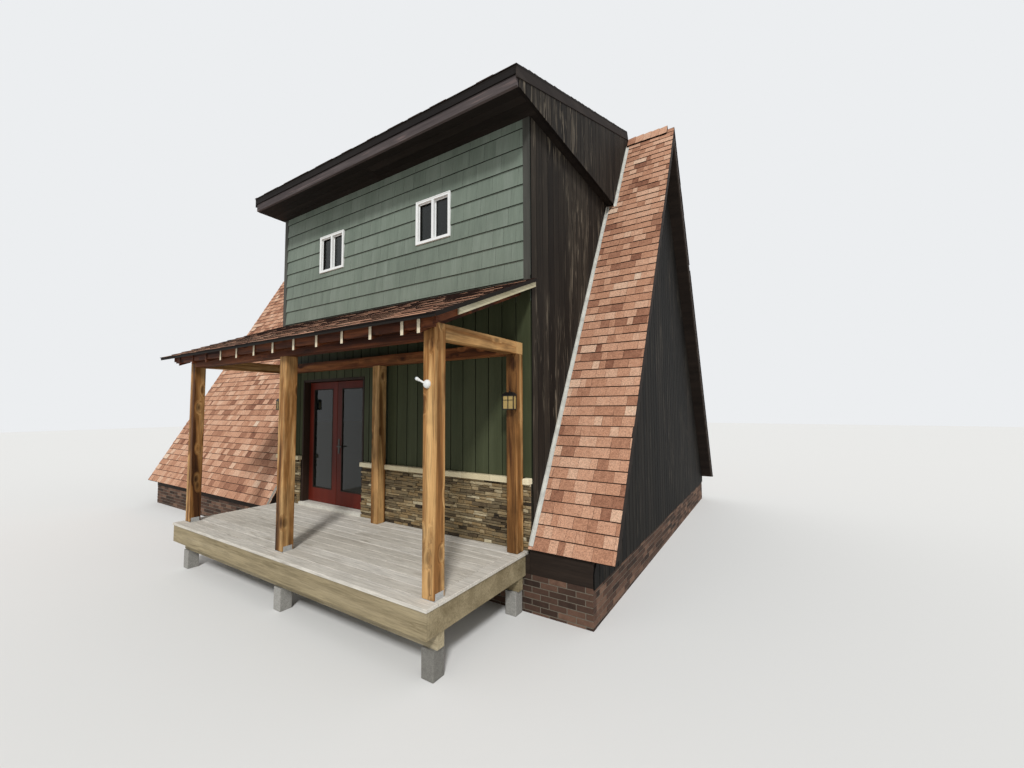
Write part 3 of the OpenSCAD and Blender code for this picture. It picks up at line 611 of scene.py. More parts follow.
def groupsAlong(node, axis, gap=0.3):
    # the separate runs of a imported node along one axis, lowest and highest value of each
    marks = sorted(v.co[axis] for v in nodes[node].data.vertices)
    found = [[marks[0], marks[0]]]
    for mark in marks[1:]:
        if mark - found[-1][1] > gap:
            found.append([mark, mark])
        found[-1][1] = mark
    return found


def edgesAlong(node, axis):
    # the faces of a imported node's boxes along one axis, two by two
    marks = sorted({round(v.co[axis], 4) for v in nodes[node].data.vertices})
    return list(zip(marks[::2], marks[1::2]))


# Shingle roofs

# the shadow strip along each tab's top and the near-black edge tone are painted shade
shingle = {"exposure": 0.14, "tab": 0.012, "base": 0.007, "tail": 0.001, "narrow": 0.075, "wide": 0.25,
           "overlap": 0.02, "gap": 0.001, "eaveDrop": 0.012, "shadow": 0.010, "least": 0.012,
           "thickShare": 0.55, "thickTone": 0.58, "thinTone": 0.42, "spread": 0.125, "darkest": 0.2,
           "paintedShadeTone": 0.03, "turnGap": 0.002, "patchFoot": 0.001, "seed": 11}
cap = {"wing": 0.15, "step": 0.135, "over": 0.12, "butt": 0.016, "tail": 0.009, "leastLean": 0.2}


def shingleTone(rng, thick):
    tone = rng.gauss(shingle["thickTone"] if thick else shingle["thinTone"], shingle["spread"])
    return min(1.0, max(shingle["darkest"], tone))


def addTab(stock, side, left, right, low, turn, high, butt, tone):
    # one shingle tab, thick at its butt, with a painted shadow line of the next course along its top and its
    # butt and sides painted near black as shade
    tail = shingle["tail"]
    middle = butt + (tail - butt) * (turn - low) / (high - low)
    rows = ((low, butt), (turn, middle), (high, tail))
    points = [at(side, a, b, c) for b, c in rows for a in (left, right)]
    points += [at(side, a, b) for b in (low, high) for a in (left, right)]
    faces = [(0, 1, 3, 2), (2, 3, 5, 4), (6, 8, 9, 7), (6, 7, 1, 0), (4, 5, 9, 8), (6, 0, 2, 4, 8),
             (7, 9, 5, 3, 1)]
    addSolid(stock, points, faces, [tone] + [shingle["paintedShadeTone"]] * 6)


def layShingles(stock, side, width, height, rng, first=0.0):
    # courses of tabs from the eave up, thick and thin ones side by side
    size = shingle
    for row in range(math.ceil((height - first) / size["exposure"])):
        foot = first + row * size["exposure"]
        low = foot - (size["eaveDrop"] if row == 0 and first == 0 else 0)
        high = min(foot + size["exposure"] + size["overlap"], height)
        turn = min(foot + size["exposure"] - size["shadow"], high - size["turnGap"])
        a = -rng.uniform(0, size["wide"])
        while a < width:
            b = a + rng.uniform(size["narrow"], size["wide"])
            left, right = max(a, 0) + size["gap"], min(b, width) - size["gap"]
            a = b
            if right - left < size["least"] or high - low < size["overlap"]:
                continue
            thick = rng.random() < size["thickShare"]
            addTab(stock, side, left, right, low, turn, high, size["tab"] if thick else size["base"],
                   shingleTone(rng, thick))


def roofSide(footLeft, footRight, top):
    # a roof plane from its eave line, left to right as seen from outside, and a point at its top
    across = (footRight - footLeft).normalized()
    rise = top - footLeft
    up = rise - across * rise.dot(across)
    return facing(footLeft, across, up), (footRight - footLeft).length, up.length


def capRun(stock, start, end, downs, rng, base=0.0):
    # folded cap shingles along a ridge, each over the tail of the last, their edges painted near black as
    # shade
    size = cap
    ridgeUp = -(downs[0] + downs[1]).normalized()
    count = max(1, round((end - start).length / size["step"]))
    along = (end - start) / count
    for i in range(count):
        tone = shingleTone(rng, True)
        back, front = start + along * i, start + along * (i + 1 + size["over"] if i + 1 < count else i + 1)
        for down in downs:
            out = down.cross(along).normalized()
            out = out if out.z > 0 else -out
            lean = ridgeUp / max(size["leastLean"], ridgeUp.dot(out))
            wing = down * size["wing"]
            corners = [(back, lean, size["butt"]), (front, lean, size["tail"]),
                       (front + wing, out, size["tail"]), (back + wing, out, size["butt"])]
            if (front - back).cross(down).dot(out) < 0:
                corners = [corners[0], corners[3], corners[2], corners[1]]
            addHex(stock, [p + way * base for p, way, lift in corners] +
                   [p + way * (base + lift) for p, way, lift in corners], tone, shingle["paintedShadeTone"])


rng = random.Random(shingle["seed"])
ridge = corner("back_slope", 0, 0, 1)
peak = corner("dormer_roof", 0, 0, 1)
footLeft = corner("front_slopes", -1000, -1, 0)
footRight = corner("front_slopes", 1000, -1, 0)
footBack = corner("back_slope", 0, 1000, -1)
dormerEave = corner("dormer_roof", 0, -1000, 1)
porchLow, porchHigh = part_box("porch_roof")
porchEave = corner("porch_roof", 0, -1000, 1)
porchTop = corner("porch_roof", 0, 0, 1)
roofs = {
    # piece: both ends of its eave line, left to right as seen from outside, and a point at its top
    "front_slope_shingles_left": (footLeft, atX(dormerLeft, footLeft), atX(leftRake, ridge)),
    "front_slope_shingles_right": (atX(dormerRight, footRight), footRight, atX(dormerRight, ridge)),
    "back_slope_shingles": (atX(rightRake, footBack), atX(leftRake, footBack), atX(rightRake, ridge)),
    "dormer_roof_shingles": (atX(roofLeft, dormerEave), atX(roofRight, dormerEave), atX(roofLeft, peak)),
    "porch_roof_shingles": (atX(porchLow.x, porchEave), atX(porchHigh.x, porchEave),
                            atX(porchLow.x, porchTop)),
}
ups = {}
for name, (start, end, top) in roofs.items():
    stock = newStock()
    side, width, height = roofSide(start, end, top)
    ups[name] = side["up"]
    layShingles(stock, side, width, height, rng)
    if name == "back_slope_shingles":
        # the back slope runs on up behind the dormer
        patch = facing(at(side, rightRake - roofRight, height), side["across"], side["up"])
        layShingles(stock, patch, roofRight - roofLeft, (peak - atX(peak.x, ridge)).length, rng,
                    shingle["patchFoot"])
    makePiece(name, stock, "shingles", "shingles")
frontUp = ups["front_slope_shingles_right"]
backUp = ups["back_slope_shingles"]
dormerUp = ups["dormer_roof_shingles"]
porchSide, porchWidth, porchRun = side, width, height       # the last roof laid

# Ridge vent: a dark slotted strip on each slope, with cap shingles over it
vent = {"thick": 0.022, "foot": 0.012, "core": 0.94, "pitch": 0.05, "bar": 0.008, "barHigh": 0.0118,
        "first": 0.01, "dark": 0.2, "pale": 0.8}
capLeft, capRight = endsOf("ridge_cap")
stock, vents = newStock(), newStock()
for start, end in ((capLeft, roofLeft), (capRight, roofRight)):
    thick, wing = vent["thick"], cap["wing"]
    capRun(stock, atX(start, ridge), atX(end, ridge), [-frontUp, -backUp], rng, thick)
    low, high = min(start, end), max(start, end)
    for down in (-frontUp, -backUp):
        across = xAxis if down.y < 0 else -xAxis
        side = facing(atX(low if down.y < 0 else high, ridge) + down * wing, across, -down)
        addPanel(vents, side, (0, vent["foot"], high - low, wing * vent["core"]), thick, 0, vent["dark"])
        a = vent["first"]
        while a < high - low - vent["bar"]:
            # the ribs between the slots along the vent's lower edge
            addPanel(vents, side, (a, 0, a + vent["bar"], vent["barHigh"]), thick, 0, vent["pale"])
            a += vent["pitch"]
makePiece("ridge_cap_shingles", stock, "shingles", "shingles", stands=["ridge_cap"])
makePiece("ridge_vent_strips", vents, "dripEdge", "shingles")
stock = newStock()
capRun(stock, atX(roofLeft, peak), atX(roofRight, peak), [-dormerUp, -backUp], rng)
makePiece("dormer_peak_cap_shingles", stock, "shingles", "shingles")
print("shingles laid")


# Roof edges: the decks end at barge boards, with a thin metal edge under the shingles

def slopeDepth(foot, z):
    # how far back the outer face of a main slope lies at a height
    return foot.y + (z - foot.z) * (ridge.y - foot.y) / (ridge.z - foot.z)


def slopeHeight(foot, y):
    return foot.z + (y - foot.y) * (ridge.z - foot.z) / (ridge.y - foot.y)


def sideOutline(points, x, face):
    # points in depth and height as a flat outline on a side that faces left or right
    outline = [Vector((x, y, z)) for y, z in points]
    turned = sum((a[0] * b[1] - b[0] * a[1]) for a, b in zip(points, points[1:] + points[:1])) > 0
    return outline if turned == (face > 0) else outline[::-1]


roofEdge = {"reveal": 0.012, "barge": 0.022, "metal": 0.0016, "back": 0.06, "drop": 0.034,
            "dormerDrop": 0.026, "eaveDrop": 0.02}


def trimmed(node, name):
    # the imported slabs, cut short at both rakes to make room for the barge boards
    mesh = nodes[node].data.copy()
    cut = roofEdge["reveal"] + roofEdge["barge"]
    for v in mesh.vertices:
        if abs(v.co.x - leftRake) < sameSpot:
            v.co.x += cut
        elif abs(v.co.x - rightRake) < sameSpot:
            v.co.x -= cut
    setPiece(name, mesh, "sill", "shingles", stands=[node])


trimmed("front_slopes", "front_roof_decks")
trimmed("back_slope", "back_roof_deck")


def addEdgeStrip(stock, start, end, face, back, drop):
    # an angle of thin metal along an edge: one leg hangs on the face, one runs back under the shingles
    thin = roofEdge["metal"]
    face, back = face.normalized(), back.normalized()
    down = -face.cross(end - start).normalized()
    down = down if down.z < 0 else -down
    for leg, push in ((down * drop, face), (back * roofEdge["back"], -down)):
        outline = [start, end, end + leg, start + leg]
        if (end - start).cross(leg).dot(push) < 0:
            outline = outline[::-1]
        addPrism(stock, [p + push * thin for p in outline], -push * thin)


barges, edging = newStock(), newStock()
ridgeUnder = min(v.co.z for v in nodes["back_slope"].data.vertices if abs(v.co.y - ridge.y) < sameSpot)
for rake, face in ((leftRake, -1), (rightRake, 1)):
    x, out = rake - face * roofEdge["reveal"], xAxis * face
    for foot in (footLeft if face < 0 else footRight, footBack):
        slab = nodes["back_slope" if foot is footBack else "front_slopes"].data
        ends = [v.co for v in slab.vertices if max(abs(v.co.x - rake), abs(v.co.z - foot.z)) < nearSpot]
        inner = max(ends, key=lambda p: abs(p.y - foot.y))
        section = [(foot.y, foot.z), (inner.y, inner.z), (ridge.y, ridgeUnder), (ridge.y, ridge.z)]
        addPrism(barges, sideOutline(section, x, face), xAxis * (-face * roofEdge["barge"]), rng.random())
        addEdgeStrip(edging, atX(x, foot), atX(x, ridge), out, -out, roofEdge["drop"])
makePiece("main_barge_boards", barges, "barge", "dark_boards")
for x, face in ((roofLeft, -1), (roofRight, 1)):
    out = xAxis * face
    addEdgeStrip(edging, atX(x, dormerEave), atX(x, peak), out, -out, roofEdge["dormerDrop"])
for start, end, foot, face, back, drop in (
        (roofLeft, roofRight, dormerEave, -yAxis, dormerUp, roofEdge["dormerDrop"]),
        (leftRake, rightRake, footBack, yAxis, backUp, roofEdge["eaveDrop"]),
        (leftRake, dormerLeft, footLeft, -yAxis, frontUp, roofEdge["eaveDrop"]),
        (dormerRight, rightRake, footRight, -yAxis, frontUp, roofEdge["eaveDrop"])):
    addEdgeStrip(edging, atX(start, foot), atX(end, foot), face, back, drop)
makePiece("roof_edge_metal", edging, "dripEdge", "flashing_metal")

# Porch roof: planks under the shingles, a dark edge round them and a strip against the wall
porch = {"plank": 0.14, "short": 2.4, "long": 3.6, "gap": 0.003, "joint": 0.002, "deep": 0.034,
         "under": 0.002, "edge": 0.034, "least": 0.01, "stripFoot": 0.012, "stripTop": 0.05,
         "stripOut": 0.02, "stripIn": 0.002}
stock, edging = newStock(), newStock()
b = 0.0
while b < porchRun - porch["least"]:
    far = min(b + porch["plank"], porchRun) - porch["gap"]
    for left, right in runs(porchWidth, porch, rng):
        addPanel(stock, porchSide, (left, b, right - porch["joint"], far), -porch["under"],
                 -porch["deep"], rng.random())
    b += porch["plank"]
makePiece("porch_roof_planks", stock, "roofPlanks", "brown_stain", stands=["porch_roof"])
addEdgeStrip(edging, at(porchSide, 0, 0), at(porchSide, porchWidth, 0), -yAxis, porchSide["up"],
             porch["edge"])
for a, face in ((0, -xAxis), (porchWidth, xAxis)):
    addEdgeStrip(edging, at(porchSide, a, 0), at(porchSide, a, porchRun), face, -face, porch["edge"])
strip = facing((dormerLeft, wallFace, porchTop.z), xAxis)
cell = (0, porch["stripFoot"], dormerRight - dormerLeft, porch["stripTop"])
addPanel(edging, strip, cell, porch["stripOut"], porch["stripIn"])
makePiece("porch_edge_metal", edging, "dripEdge", "flashing_metal")

# Stepped flashing: one bent piece a course, lapped like the shingles and lying on them
flash = {"leg": 0.046, "up": 0.045, "piece": 0.19, "metal": 0.0014, "lift": 0.0145, "fall": 0.0022,
         "lap": 0.05, "sway": 0.002, "proud": 0.0008, "taller": 0.002, "aside": 0.0004, "least": 0.03,
         "offWall": 0.017, "offSkirt": 0.013, "foot": 0.02, "top": 0.02, "under": 0.05, "seed": 31}
rng = random.Random(flash["seed"])


def layFlashing(stock, foot, x, face, low, high):
    # up a slope beside a wall at x that faces left or right, between two heights
    size = flash
    rise = math.sqrt(1 + ((ridge.y - foot.y) / (ridge.z - foot.z)) ** 2)
    side = facing((x, slopeDepth(foot, low), low), xAxis, frontUp)
    far, b, odd = (high - low) * rise, 0.0, 0
    while b < far - size["least"]:
        end = min(b + size["piece"] + size["lap"], far)
        lift, tail = size["lift"] + rng.uniform(0, size["sway"]), size["lift"] - size["fall"]
        wide = face * (size["leg"] + rng.uniform(-size["sway"], size["sway"]))
        tone = rng.random()
        # every second upright leg stands a little proud, so that lapped legs never share a face
        upright, tall = size["metal"] + size["proud"] * odd, size["up"] + size["taller"] * odd
        for away, base, thick in ((wide, 1.0, size["metal"]), (face * upright, 0.0, tall)):
            near = 0.0 if base else face * size["aside"] * odd
            inner = [(near, b, lift * base), (away, b, lift * base), (away, end, tail * base),
                     (near, end, tail * base)]
            inner = inner if face > 0 else [inner[1], inner[0], inner[3], inner[2]]
            addHex(stock, [at(side, *p) for p in inner] + [at(side, p[0], p[1], p[2] + thick) for p in inner],
                   tone)
        b += size["piece"]
        odd = 1 - odd


stock = newStock()
skirtLeft, skirtRight = endsOf("dormer_skirts")
flashLow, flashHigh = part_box("wall_flashing")
size = flash
for foot, wallX, skirtX, face, low in ((footRight, dormerRight, skirtRight, 1, footRight.z + size["foot"]),
                                       (footLeft, dormerLeft, skirtLeft, -1, flashLow.z)):
    layFlashing(stock, foot, wallX + face * size["offWall"], face, low, soffitHeight - size["top"])
    layFlashing(stock, foot, skirtX + face * size["offSkirt"], face, soffitHeight - size["under"],
                flashHigh.z)
makePiece("stepped_flashing", stock, "flashing", "flashing_metal", stands=["wall_flashing"])
print("roof edges and flashing set")


# Boarded walls

sideBoards = {"pitch": 0.155, "gap": 0.009, "thick": 0.016, "chamfer": 0.003, "start": -0.03,
              "overBrick": 0.012}
skirtBoards = dict(sideBoards, thick=0.012)
lowerBoards = {"pitch": 0.203, "gap": 0.011, "thick": 0.012, "chamfer": 0.003, "underPorch": 0.04}
laps = {"first": 3.174, "exposure": 0.2335, "cover": 0.02, "butt": 0.022, "tail": 0.004, "joint": 0.001,
        "short": 0.16, "long": 0.4, "overPorch": 0.004}
paintedGapShade = -4.0        # a tone below every other: painted shade on board edges in the gaps and on the lap boards' undersides


def layBoards(stock, side, outline, size, rng, start=0.0, away=()):
    # upright boards over a flat outline, with rectangles left out for openings
    a, far = start, max(p[0] for p in outline)
    while a < far:
        left, right = a + size["gap"] / 2, a + size["pitch"] - size["gap"] / 2
        a += size["pitch"]
        strip = clip(outline, 0, left, right)
        if len(strip) < 3 or spanOf(strip)[2] - spanOf(strip)[0] < slivers["board"]:
            continue
        tone = rng.random()
        parts = [strip]
        for hole in away:
            if hole[2] > left and hole[0] < right:
                parts = [rectangle(c) for c in without([spanOf(strip)], hole)]
        for part in parts:
            part = [p for i, p in enumerate(part) if math.dist(p, part[i - 1]) > slivers["edge"]]
            if len(part) > 2:
                # the sides and backs of the boards are painted near black as shade in the gaps
                addChamfered(stock, [at(side, *p, size["thick"]) for p in part],
                             side["out"] * -size["thick"], size["chamfer"], tone, paintedGapShade)


def layBothSides(name, look, node, outline, size):
    # the same boards on a node's side that faces right and on its mirror that faces left
    stock, span = newStock(), spanOf(outline)
    low, high = endsOf(node)
    layBoards(stock, facing((high, 0, 0), yAxis), outline, size, rng, span[0])
    mirrored = [(-y, z) for y, z in reversed(outline)]
    layBoards(stock, facing((low, 0, 0), -yAxis), mirrored, size, rng, -span[2])
    makePiece(name, stock, look, "dark_boards")


stock = newStock()
reach = slopeDepth(footRight, soffitHeight) - wallFace
wallFoot = slopeHeight(footRight, wallFace)
layBoards(stock, facing((dormerRight, wallFace, 0), yAxis),
          [(0, wallFoot), (reach, soffitHeight), (0, soffitHeight)], sideBoards, rng, sideBoards["start"])
wallFoot = slopeHeight(footLeft, wallFace)
layBoards(stock, facing((dormerLeft, wallFace + reach, 0), -yAxis),
          [(0, soffitHeight), (reach, wallFoot), (reach, soffitHeight)], sideBoards, rng)
makePiece("dormer_side_boards", stock, "darkBoards", "dark_boards")

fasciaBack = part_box("dormer_fascia")[1].y
rakeLow = corner("dormer_rake_boards", 0, -1000, -1)
rakeBack = corner("dormer_rake_boards", 0, 1, 0)
lean = (rakeBack.z - rakeLow.z) / (rakeBack.y - rakeLow.y)
skirt = [(fasciaBack, soffitHeight), (slopeDepth(footRight, soffitHeight), soffitHeight), (ridge.y, ridge.z),
         (rakeBack.y, rakeBack.z), (fasciaBack, rakeLow.z + (fasciaBack - rakeLow.y) * lean)]
layBothSides("dormer_skirt_boards", "darkBoards", "dormer_skirts", skirt, skirtBoards)

brickLow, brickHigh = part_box("foundation_walls")
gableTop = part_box("gable_walls")[1].z
boardFoot = brickHigh.z - sideBoards["overBrick"]
gable = [(brickLow.y, boardFoot), (brickHigh.y, boardFoot), (brickHigh.y, footBack.z), (ridge.y, gableTop),
         (brickLow.y, footBack.z)]
layBothSides("gable_boards", "paintedShadeGableBoards", "gable_walls", gable, sideBoards)

front = facing((dormerLeft, wallFace, 0), xAxis)
frontWidth = dormerRight - dormerLeft
doorLow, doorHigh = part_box("door_frame")
capLow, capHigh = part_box("wainscot_cap")
stock = newStock()
doorHole = (doorLow.x - dormerLeft, 0, doorHigh.x - dormerLeft, doorHigh.z)
boarded = rectangle((0, capHigh.z, frontWidth, porchTop.z - lowerBoards["underPorch"]))
layBoards(stock, front, boarded, lowerBoards, rng, 0, [doorHole])
makePiece("lower_grooved_boards", stock, "oliveBoards", "groove_siding")

frameLow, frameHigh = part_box("window_frames")
windows = groupsAlong("window_frames", 0, gap=0.7)
stock = newStock()
z = deckTop + laps["first"] - laps["exposure"]
deep = laps["exposure"] + laps["cover"]
while z < soffitHeight:
    low, high = max(z, porchTop.z + laps["overPorch"]), min(z + deep, soffitHeight)
    for a, b in runs(frontWidth, laps, rng):
        cells = [(a + laps["joint"], low, b - laps["joint"], high)]
        for x0, x1 in windows:
            cells = without(cells, (x0 - dormerLeft, frameLow.z, x1 - dormerLeft, frameHigh.z))
        tone = rng.random()
        for cell in cells:
            corners = flat(front, cell)
            for across, up in rectangle(cell):
                lift = laps["butt"] + (laps["tail"] - laps["butt"]) * (up - z) / deep
                corners.append(at(front, across, up, lift))
            # the lap boards' undersides and joint sides are painted near black as shade
            addHex(stock, corners, tone, paintedGapShade)
    z += laps["exposure"]
makePiece("upper_lap_boards", stock, "sageBoards", "lap_siding")
print("walls boarded")


# Stone band and brick base

stone = {"low": 0.020, "high": 0.050, "short": 0.06, "long": 0.28, "shallow": 0.034, "deep": 0.062,
         "joint": 0.0022, "rough": 0.0035, "shift": 0.02, "spread": 0.24, "split": 0.35,
         "splitHigh": 0.045, "splitShallow": 0.036, "splitDeep": 0.06, "splitFrom": 0.4, "splitTo": 0.6,
         "bed": 0.028, "bedGap": 0.002, "bedTone": 0.1, "least": 0.004, "roughShare": 0.12, "roughUp": 0.8,
         "sunkEdge": 0.6, "shoulder": 2.2, "seed": 23}


def wobble(rng, amount):
    return rng.uniform(-amount, amount)


def addStone(stock, side, cell, depth, rng):
    # one split stone: a rough face of three by two patches and broken edges
    a, b, c, d = cell
    size = stone
    rough = min(size["rough"], (d - b) * size["roughShare"])
    columns, rows = 3, 2
    wide = columns + 1
    face = []
    for j in range(rows + 1):
        for i in range(wide):
            across = a + (c - a) * i / columns
            across += wobble(rng, size["shift"]) if 0 < i < columns else rough if i == 0 else -rough
            up = b + (d - b) * j / rows
            up += wobble(rng, rough) if 0 < j < rows else (rough if j == 0 else -rough) * size["roughUp"]
            sunk = ((i in (0, columns)) + (j in (0, rows))) * rough * size["sunkEdge"]
            face.append(at(side, across, up, depth + wobble(rng, size["rough"]) - sunk))
    ring = [(i, 0) for i in range(columns)] + [(columns, j) for j in range(rows)]
    ring += [(i, rows) for i in range(columns, 0, -1)] + [(0, j) for j in range(rows, 0, -1)]
    outline = [(a + (c - a) * i / columns, b + (d - b) * j / rows) for i, j in ring]
    shoulder = [at(side, *p, depth - size["shoulder"] * rough) for p in outline]
    back = [at(side, *p) for p in outline]
    n, f = len(ring), len(face)
    faces = [(k, k + 1, k + 1 + wide, k + wide) for k in range(rows * wide) if k % wide < columns]
    edge = [j * wide + i for i, j in ring]
    faces += [(edge[k], f + k, f + (k + 1) % n, edge[(k + 1) % n]) for k in range(n)]
    faces += ringFaces(f, f + n, n) + [tuple(f + n + k for k in range(n - 1, -1, -1))]
    addSolid(stock, face + shoulder + back, faces, min(1.0, max(0.0, rng.gauss(plainShade, size["spread"]))))


rng = random.Random(stone["seed"])
stoneLow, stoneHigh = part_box("stone_wainscot")
stock, behind = newStock(), newStock()
joint = stone["joint"]
for a0, a1 in ((stoneLow.x, doorLow.x), (doorHigh.x, stoneHigh.x)):
    band = facing((a0, wallFace, 0), xAxis)
    addBox(behind, (a0, wallFace - stone["bed"], stoneLow.z),
           (a1 - stone["bedGap"], wallFace, stoneHigh.z), stone["bedTone"])
    z = stoneLow.z
    while z < stoneHigh.z - stone["least"]:
        rise = rng.uniform(stone["low"], stone["high"])
        top = stoneHigh.z if stoneHigh.z - z - rise < stone["low"] else z + rise
        for a, b in runs(a1 - a0, stone, rng):
            deep = rng.uniform(stone["shallow"], stone["deep"])
            left, right = a + joint, b - joint
            if top - z > stone["splitHigh"] and rng.random() < stone["split"]:
                # two thin stones in place of a thick one
                half = z + (top - z) * rng.uniform(stone["splitFrom"], stone["splitTo"])
                addStone(stock, band, (left, z + joint, right, half - joint / 2), deep, rng)
                deep = rng.uniform(stone["splitShallow"], stone["splitDeep"])
                addStone(stock, band, (left, half + joint / 2, right, top - joint), deep, rng)
            else:
                addStone(stock, band, (left, z + joint, right, top - joint), deep, rng)
        z = top
makePiece("stone_band", stock, "ledgestone", "stone_facing", stands=["stone_wainscot"])
makePiece("stone_band_bed", behind, "stoneBed", "stone_facing")

brick = {"long": 0.203, "high": 0.057, "joint": 0.010, "deep": 0.09, "sunk": 0.005, "wall": 0.2,
         "chamfer": 0.003, "leastHigh": 0.012, "leastLong": 0.02, "mortarDown": 0.001}


def layBricks(stock, side, width, high, rng):
    # running bond from the top course down to the ground
    size = brick
    pitch, rise = size["long"] + size["joint"], size["high"] + size["joint"]
    row, top = 0, high
    while top > size["leastHigh"]:
        foot = max(0, top - size["high"])
        a = -pitch / 2 * (row % 2)
        while a < width:
            left, right = max(0, a), min(width, a + size["long"])
            if right - left > size["leastLong"]:
                addPanel(stock, side, (left, foot, right, top), 0, -size["deep"], rng.random(),
                         size["chamfer"])
            a += pitch
        top, row = top - rise, row + 1


stock, behind = newStock(), newStock()
x0, y0, x1, y1 = brickLow.x, brickLow.y, brickHigh.x, brickHigh.y
deep, sunk, wall = brick["deep"], brick["sunk"], brick["wall"]
for origin, across, width in (((x0, y0, 0), xAxis, x1 - x0), ((x1, y1, 0), -xAxis, x1 - x0),
                              ((x1, y0 + deep, 0), yAxis, y1 - y0 - 2 * deep),
                              ((x0, y1 - deep, 0), -yAxis, y1 - y0 - 2 * deep)):
    layBricks(stock, facing(origin, across), width, brickHigh.z, rng)
for low, high in (((x0 + sunk, y0 + sunk), (x1 - sunk, y0 + wall)),
                  ((x0 + sunk, y1 - wall), (x1 - sunk, y1 - sunk)),
                  ((x0 + sunk, y0 + wall), (x0 + wall, y1 - wall)),
                  ((x1 - wall, y0 + wall), (x1 - sunk, y1 - wall))):
    addBox(behind, (*low, 0), (*high, brickHigh.z - brick["mortarDown"]))
makePiece("foundation_bricks", stock, "brick", "brick", stands=["foundation_walls"])
makePiece("foundation_mortar", behind, "mortar", "brick")
print("stone and brick laid")


# Porch

deck = {"width": 0.14, "gap": 0.005, "joint": 0.003, "chamfer": 0.004, "least": 0.01, "short": 2.4,
        "long": 4.9, "seed": 5}
deckBorder = {"width": 0.14, "short": 1.8, "long": 3.2}
rng = random.Random(deck["seed"])
deckLow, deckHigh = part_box("deck_boards")
stock = newStock()
wide, gap, joint = deckBorder["width"], deck["gap"], deck["joint"]


def addDeckBoard(x0, y0, x1, y1):
    addBox(stock, (x0, y0, deckLow.z), (x1, y1, deckHigh.z), rng.random(), deck["chamfer"])


for a, b in runs(deckHigh.x - deckLow.x, deckBorder, rng):
    addDeckBoard(deckLow.x + a, deckLow.y, deckLow.x + b - joint, deckLow.y + wide)
addDeckBoard(deckHigh.x - wide, deckLow.y + wide + gap, deckHigh.x, deckHigh.y)
y = deckLow.y + wide + gap
inner = deckHigh.x - wide - gap - deckLow.x
while y < deckHigh.y - deck["least"]:
    far = min(y + deck["width"], deckHigh.y)
    for a, b in runs(inner, deck, rng):
        addDeckBoard(deckLow.x + a, y, deckLow.x + b - (joint if b < inner - sameSpot else 0), far)
    y = far + gap
makePiece("deck_planks", stock, "deck", "deck_wood", stands=["deck_boards"])

timbers = {
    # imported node: (piece, width of the rounding, finish, slot, way of the grain)
    "deck_frame": ("deck_framing", 0.003, "rim", "rim_pine", xAxis),
    "deck_girders": ("deck_girder_timbers", 0.004, "rim", "rim_pine", xAxis),
    "porch_posts": ("square_porch_posts", 0.009, "post", "post_wood", zAxis),
    "front_beam": ("porch_front_beam", 0.006, "brownX", "brown_stain", xAxis),
    "side_beams": ("porch_side_beams", 0.006, "beamY", "post_wood", yAxis),
    "wall_beam": ("porch_wall_beam", 0.006, "beamX", "post_wood", xAxis),
    "porch_rafters": ("porch_rafter_timbers", 0.003, "brownY", "brown_stain", yAxis),
    "porch_blocking": ("rafter_blocking", 0.002, "brownX", "brown_stain", xAxis),
    "porch_rake_boards": ("pale_porch_rakes", 0.003, "paleRake", "pale_board", yAxis),
    "sill_beams": ("sill_timbers", 0.004, "sill", "dark_timber", xAxis),
    "corner_boards": ("upper_corner_boards", 0.003, "greyTrim", "lap_siding", None),
    "window_frames": ("window_frame_bars", 0.003, "whiteFrame", "window_white", None),
    "door_frame": ("door_jambs", 0.003, "frameBrown", "frame_brown", None),
    "dormer_rake_boards": ("dormer_rakes", 0.003, "rake", "fascia_paint", None),
    "dormer_fascia": ("dormer_fascia_board", 0.004, "fascia", "fascia_paint", None),
    "deck_piers": ("deck_pier_blocks", 0.008, "concrete", "pier_concrete", None),
}
for node, (name, width, look, slot, grain) in timbers.items():
    softened(node, name, width, look, slot, rng, grain=grain)

# pale cut ends, end grain with painted sunlight on it, only on the rafters between these two places; the
# outermost keep the stain colour on their ends as painted shade
sunlitTails = {"left": 0.8, "right": 4.87}
rafters = bpy.data.objects["porch_rafter_timbers"].data
for face in rafters.polygons:
    if not sunlitTails["left"] < face.center.x < sunlitTails["right"]:
        rafters.attributes["tip"].data[face.index].value = 0.0
print("porch timbers rounded")


# Post shoes, cap stones and soffit boards

shoe = {"plate": 0.004, "wall": 0.003, "width": 0.105, "chamfer": 0.001, "bolt": 0.008, "head": 0.006,
        "boltHigh": 0.034, "boltSpots": (-0.026, 0.026), "nail": 0.0028, "nailHead": 0.0012,
        "nailSpots": ((-0.043, 0.052), (0.043, 0.052), (-0.043, 0.016), (0.043, 0.016), (0, 0.048)),
        "wallTone": 0.6, "boltTone": 0.9, "nailTone": 0.1}
stock = newStock()
shoeLow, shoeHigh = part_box("post_bases")
middleY = (shoeLow.y + shoeHigh.y) / 2
half, foot = shoe["width"] / 2, shoeLow.z
plateTop = foot + shoe["plate"]
for x0, x1 in groupsAlong("post_bases", 0):
    addBox(stock, (x0, shoeLow.y, foot), (x1, shoeHigh.y, plateTop), chamfer=shoe["chamfer"])
    for x, face in ((x0, -1), (x1, 1)):
        inner = x - face * shoe["wall"]
        addBox(stock, (min(x, inner), middleY - half, plateTop), (max(x, inner), middleY + half, shoeHigh.z),
               shoe["wallTone"], shoe["chamfer"])
        for dy in shoe["boltSpots"]:
            spot = Vector((x, middleY + dy, foot + shoe["boltHigh"]))
            addRod(stock, spot, spot + xAxis * face * shoe["head"], shoe["bolt"], 6, shoe["boltTone"])
        for dy, dz in shoe["nailSpots"]:
            spot = Vector((x, middleY + dy, foot + dz))
            addRod(stock, spot, spot + xAxis * face * shoe["nailHead"], shoe["nail"], 8, shoe["nailTone"])
makePiece("metal_post_shoes", stock, "shoe", "shoe_metal", stands=["post_bases"])

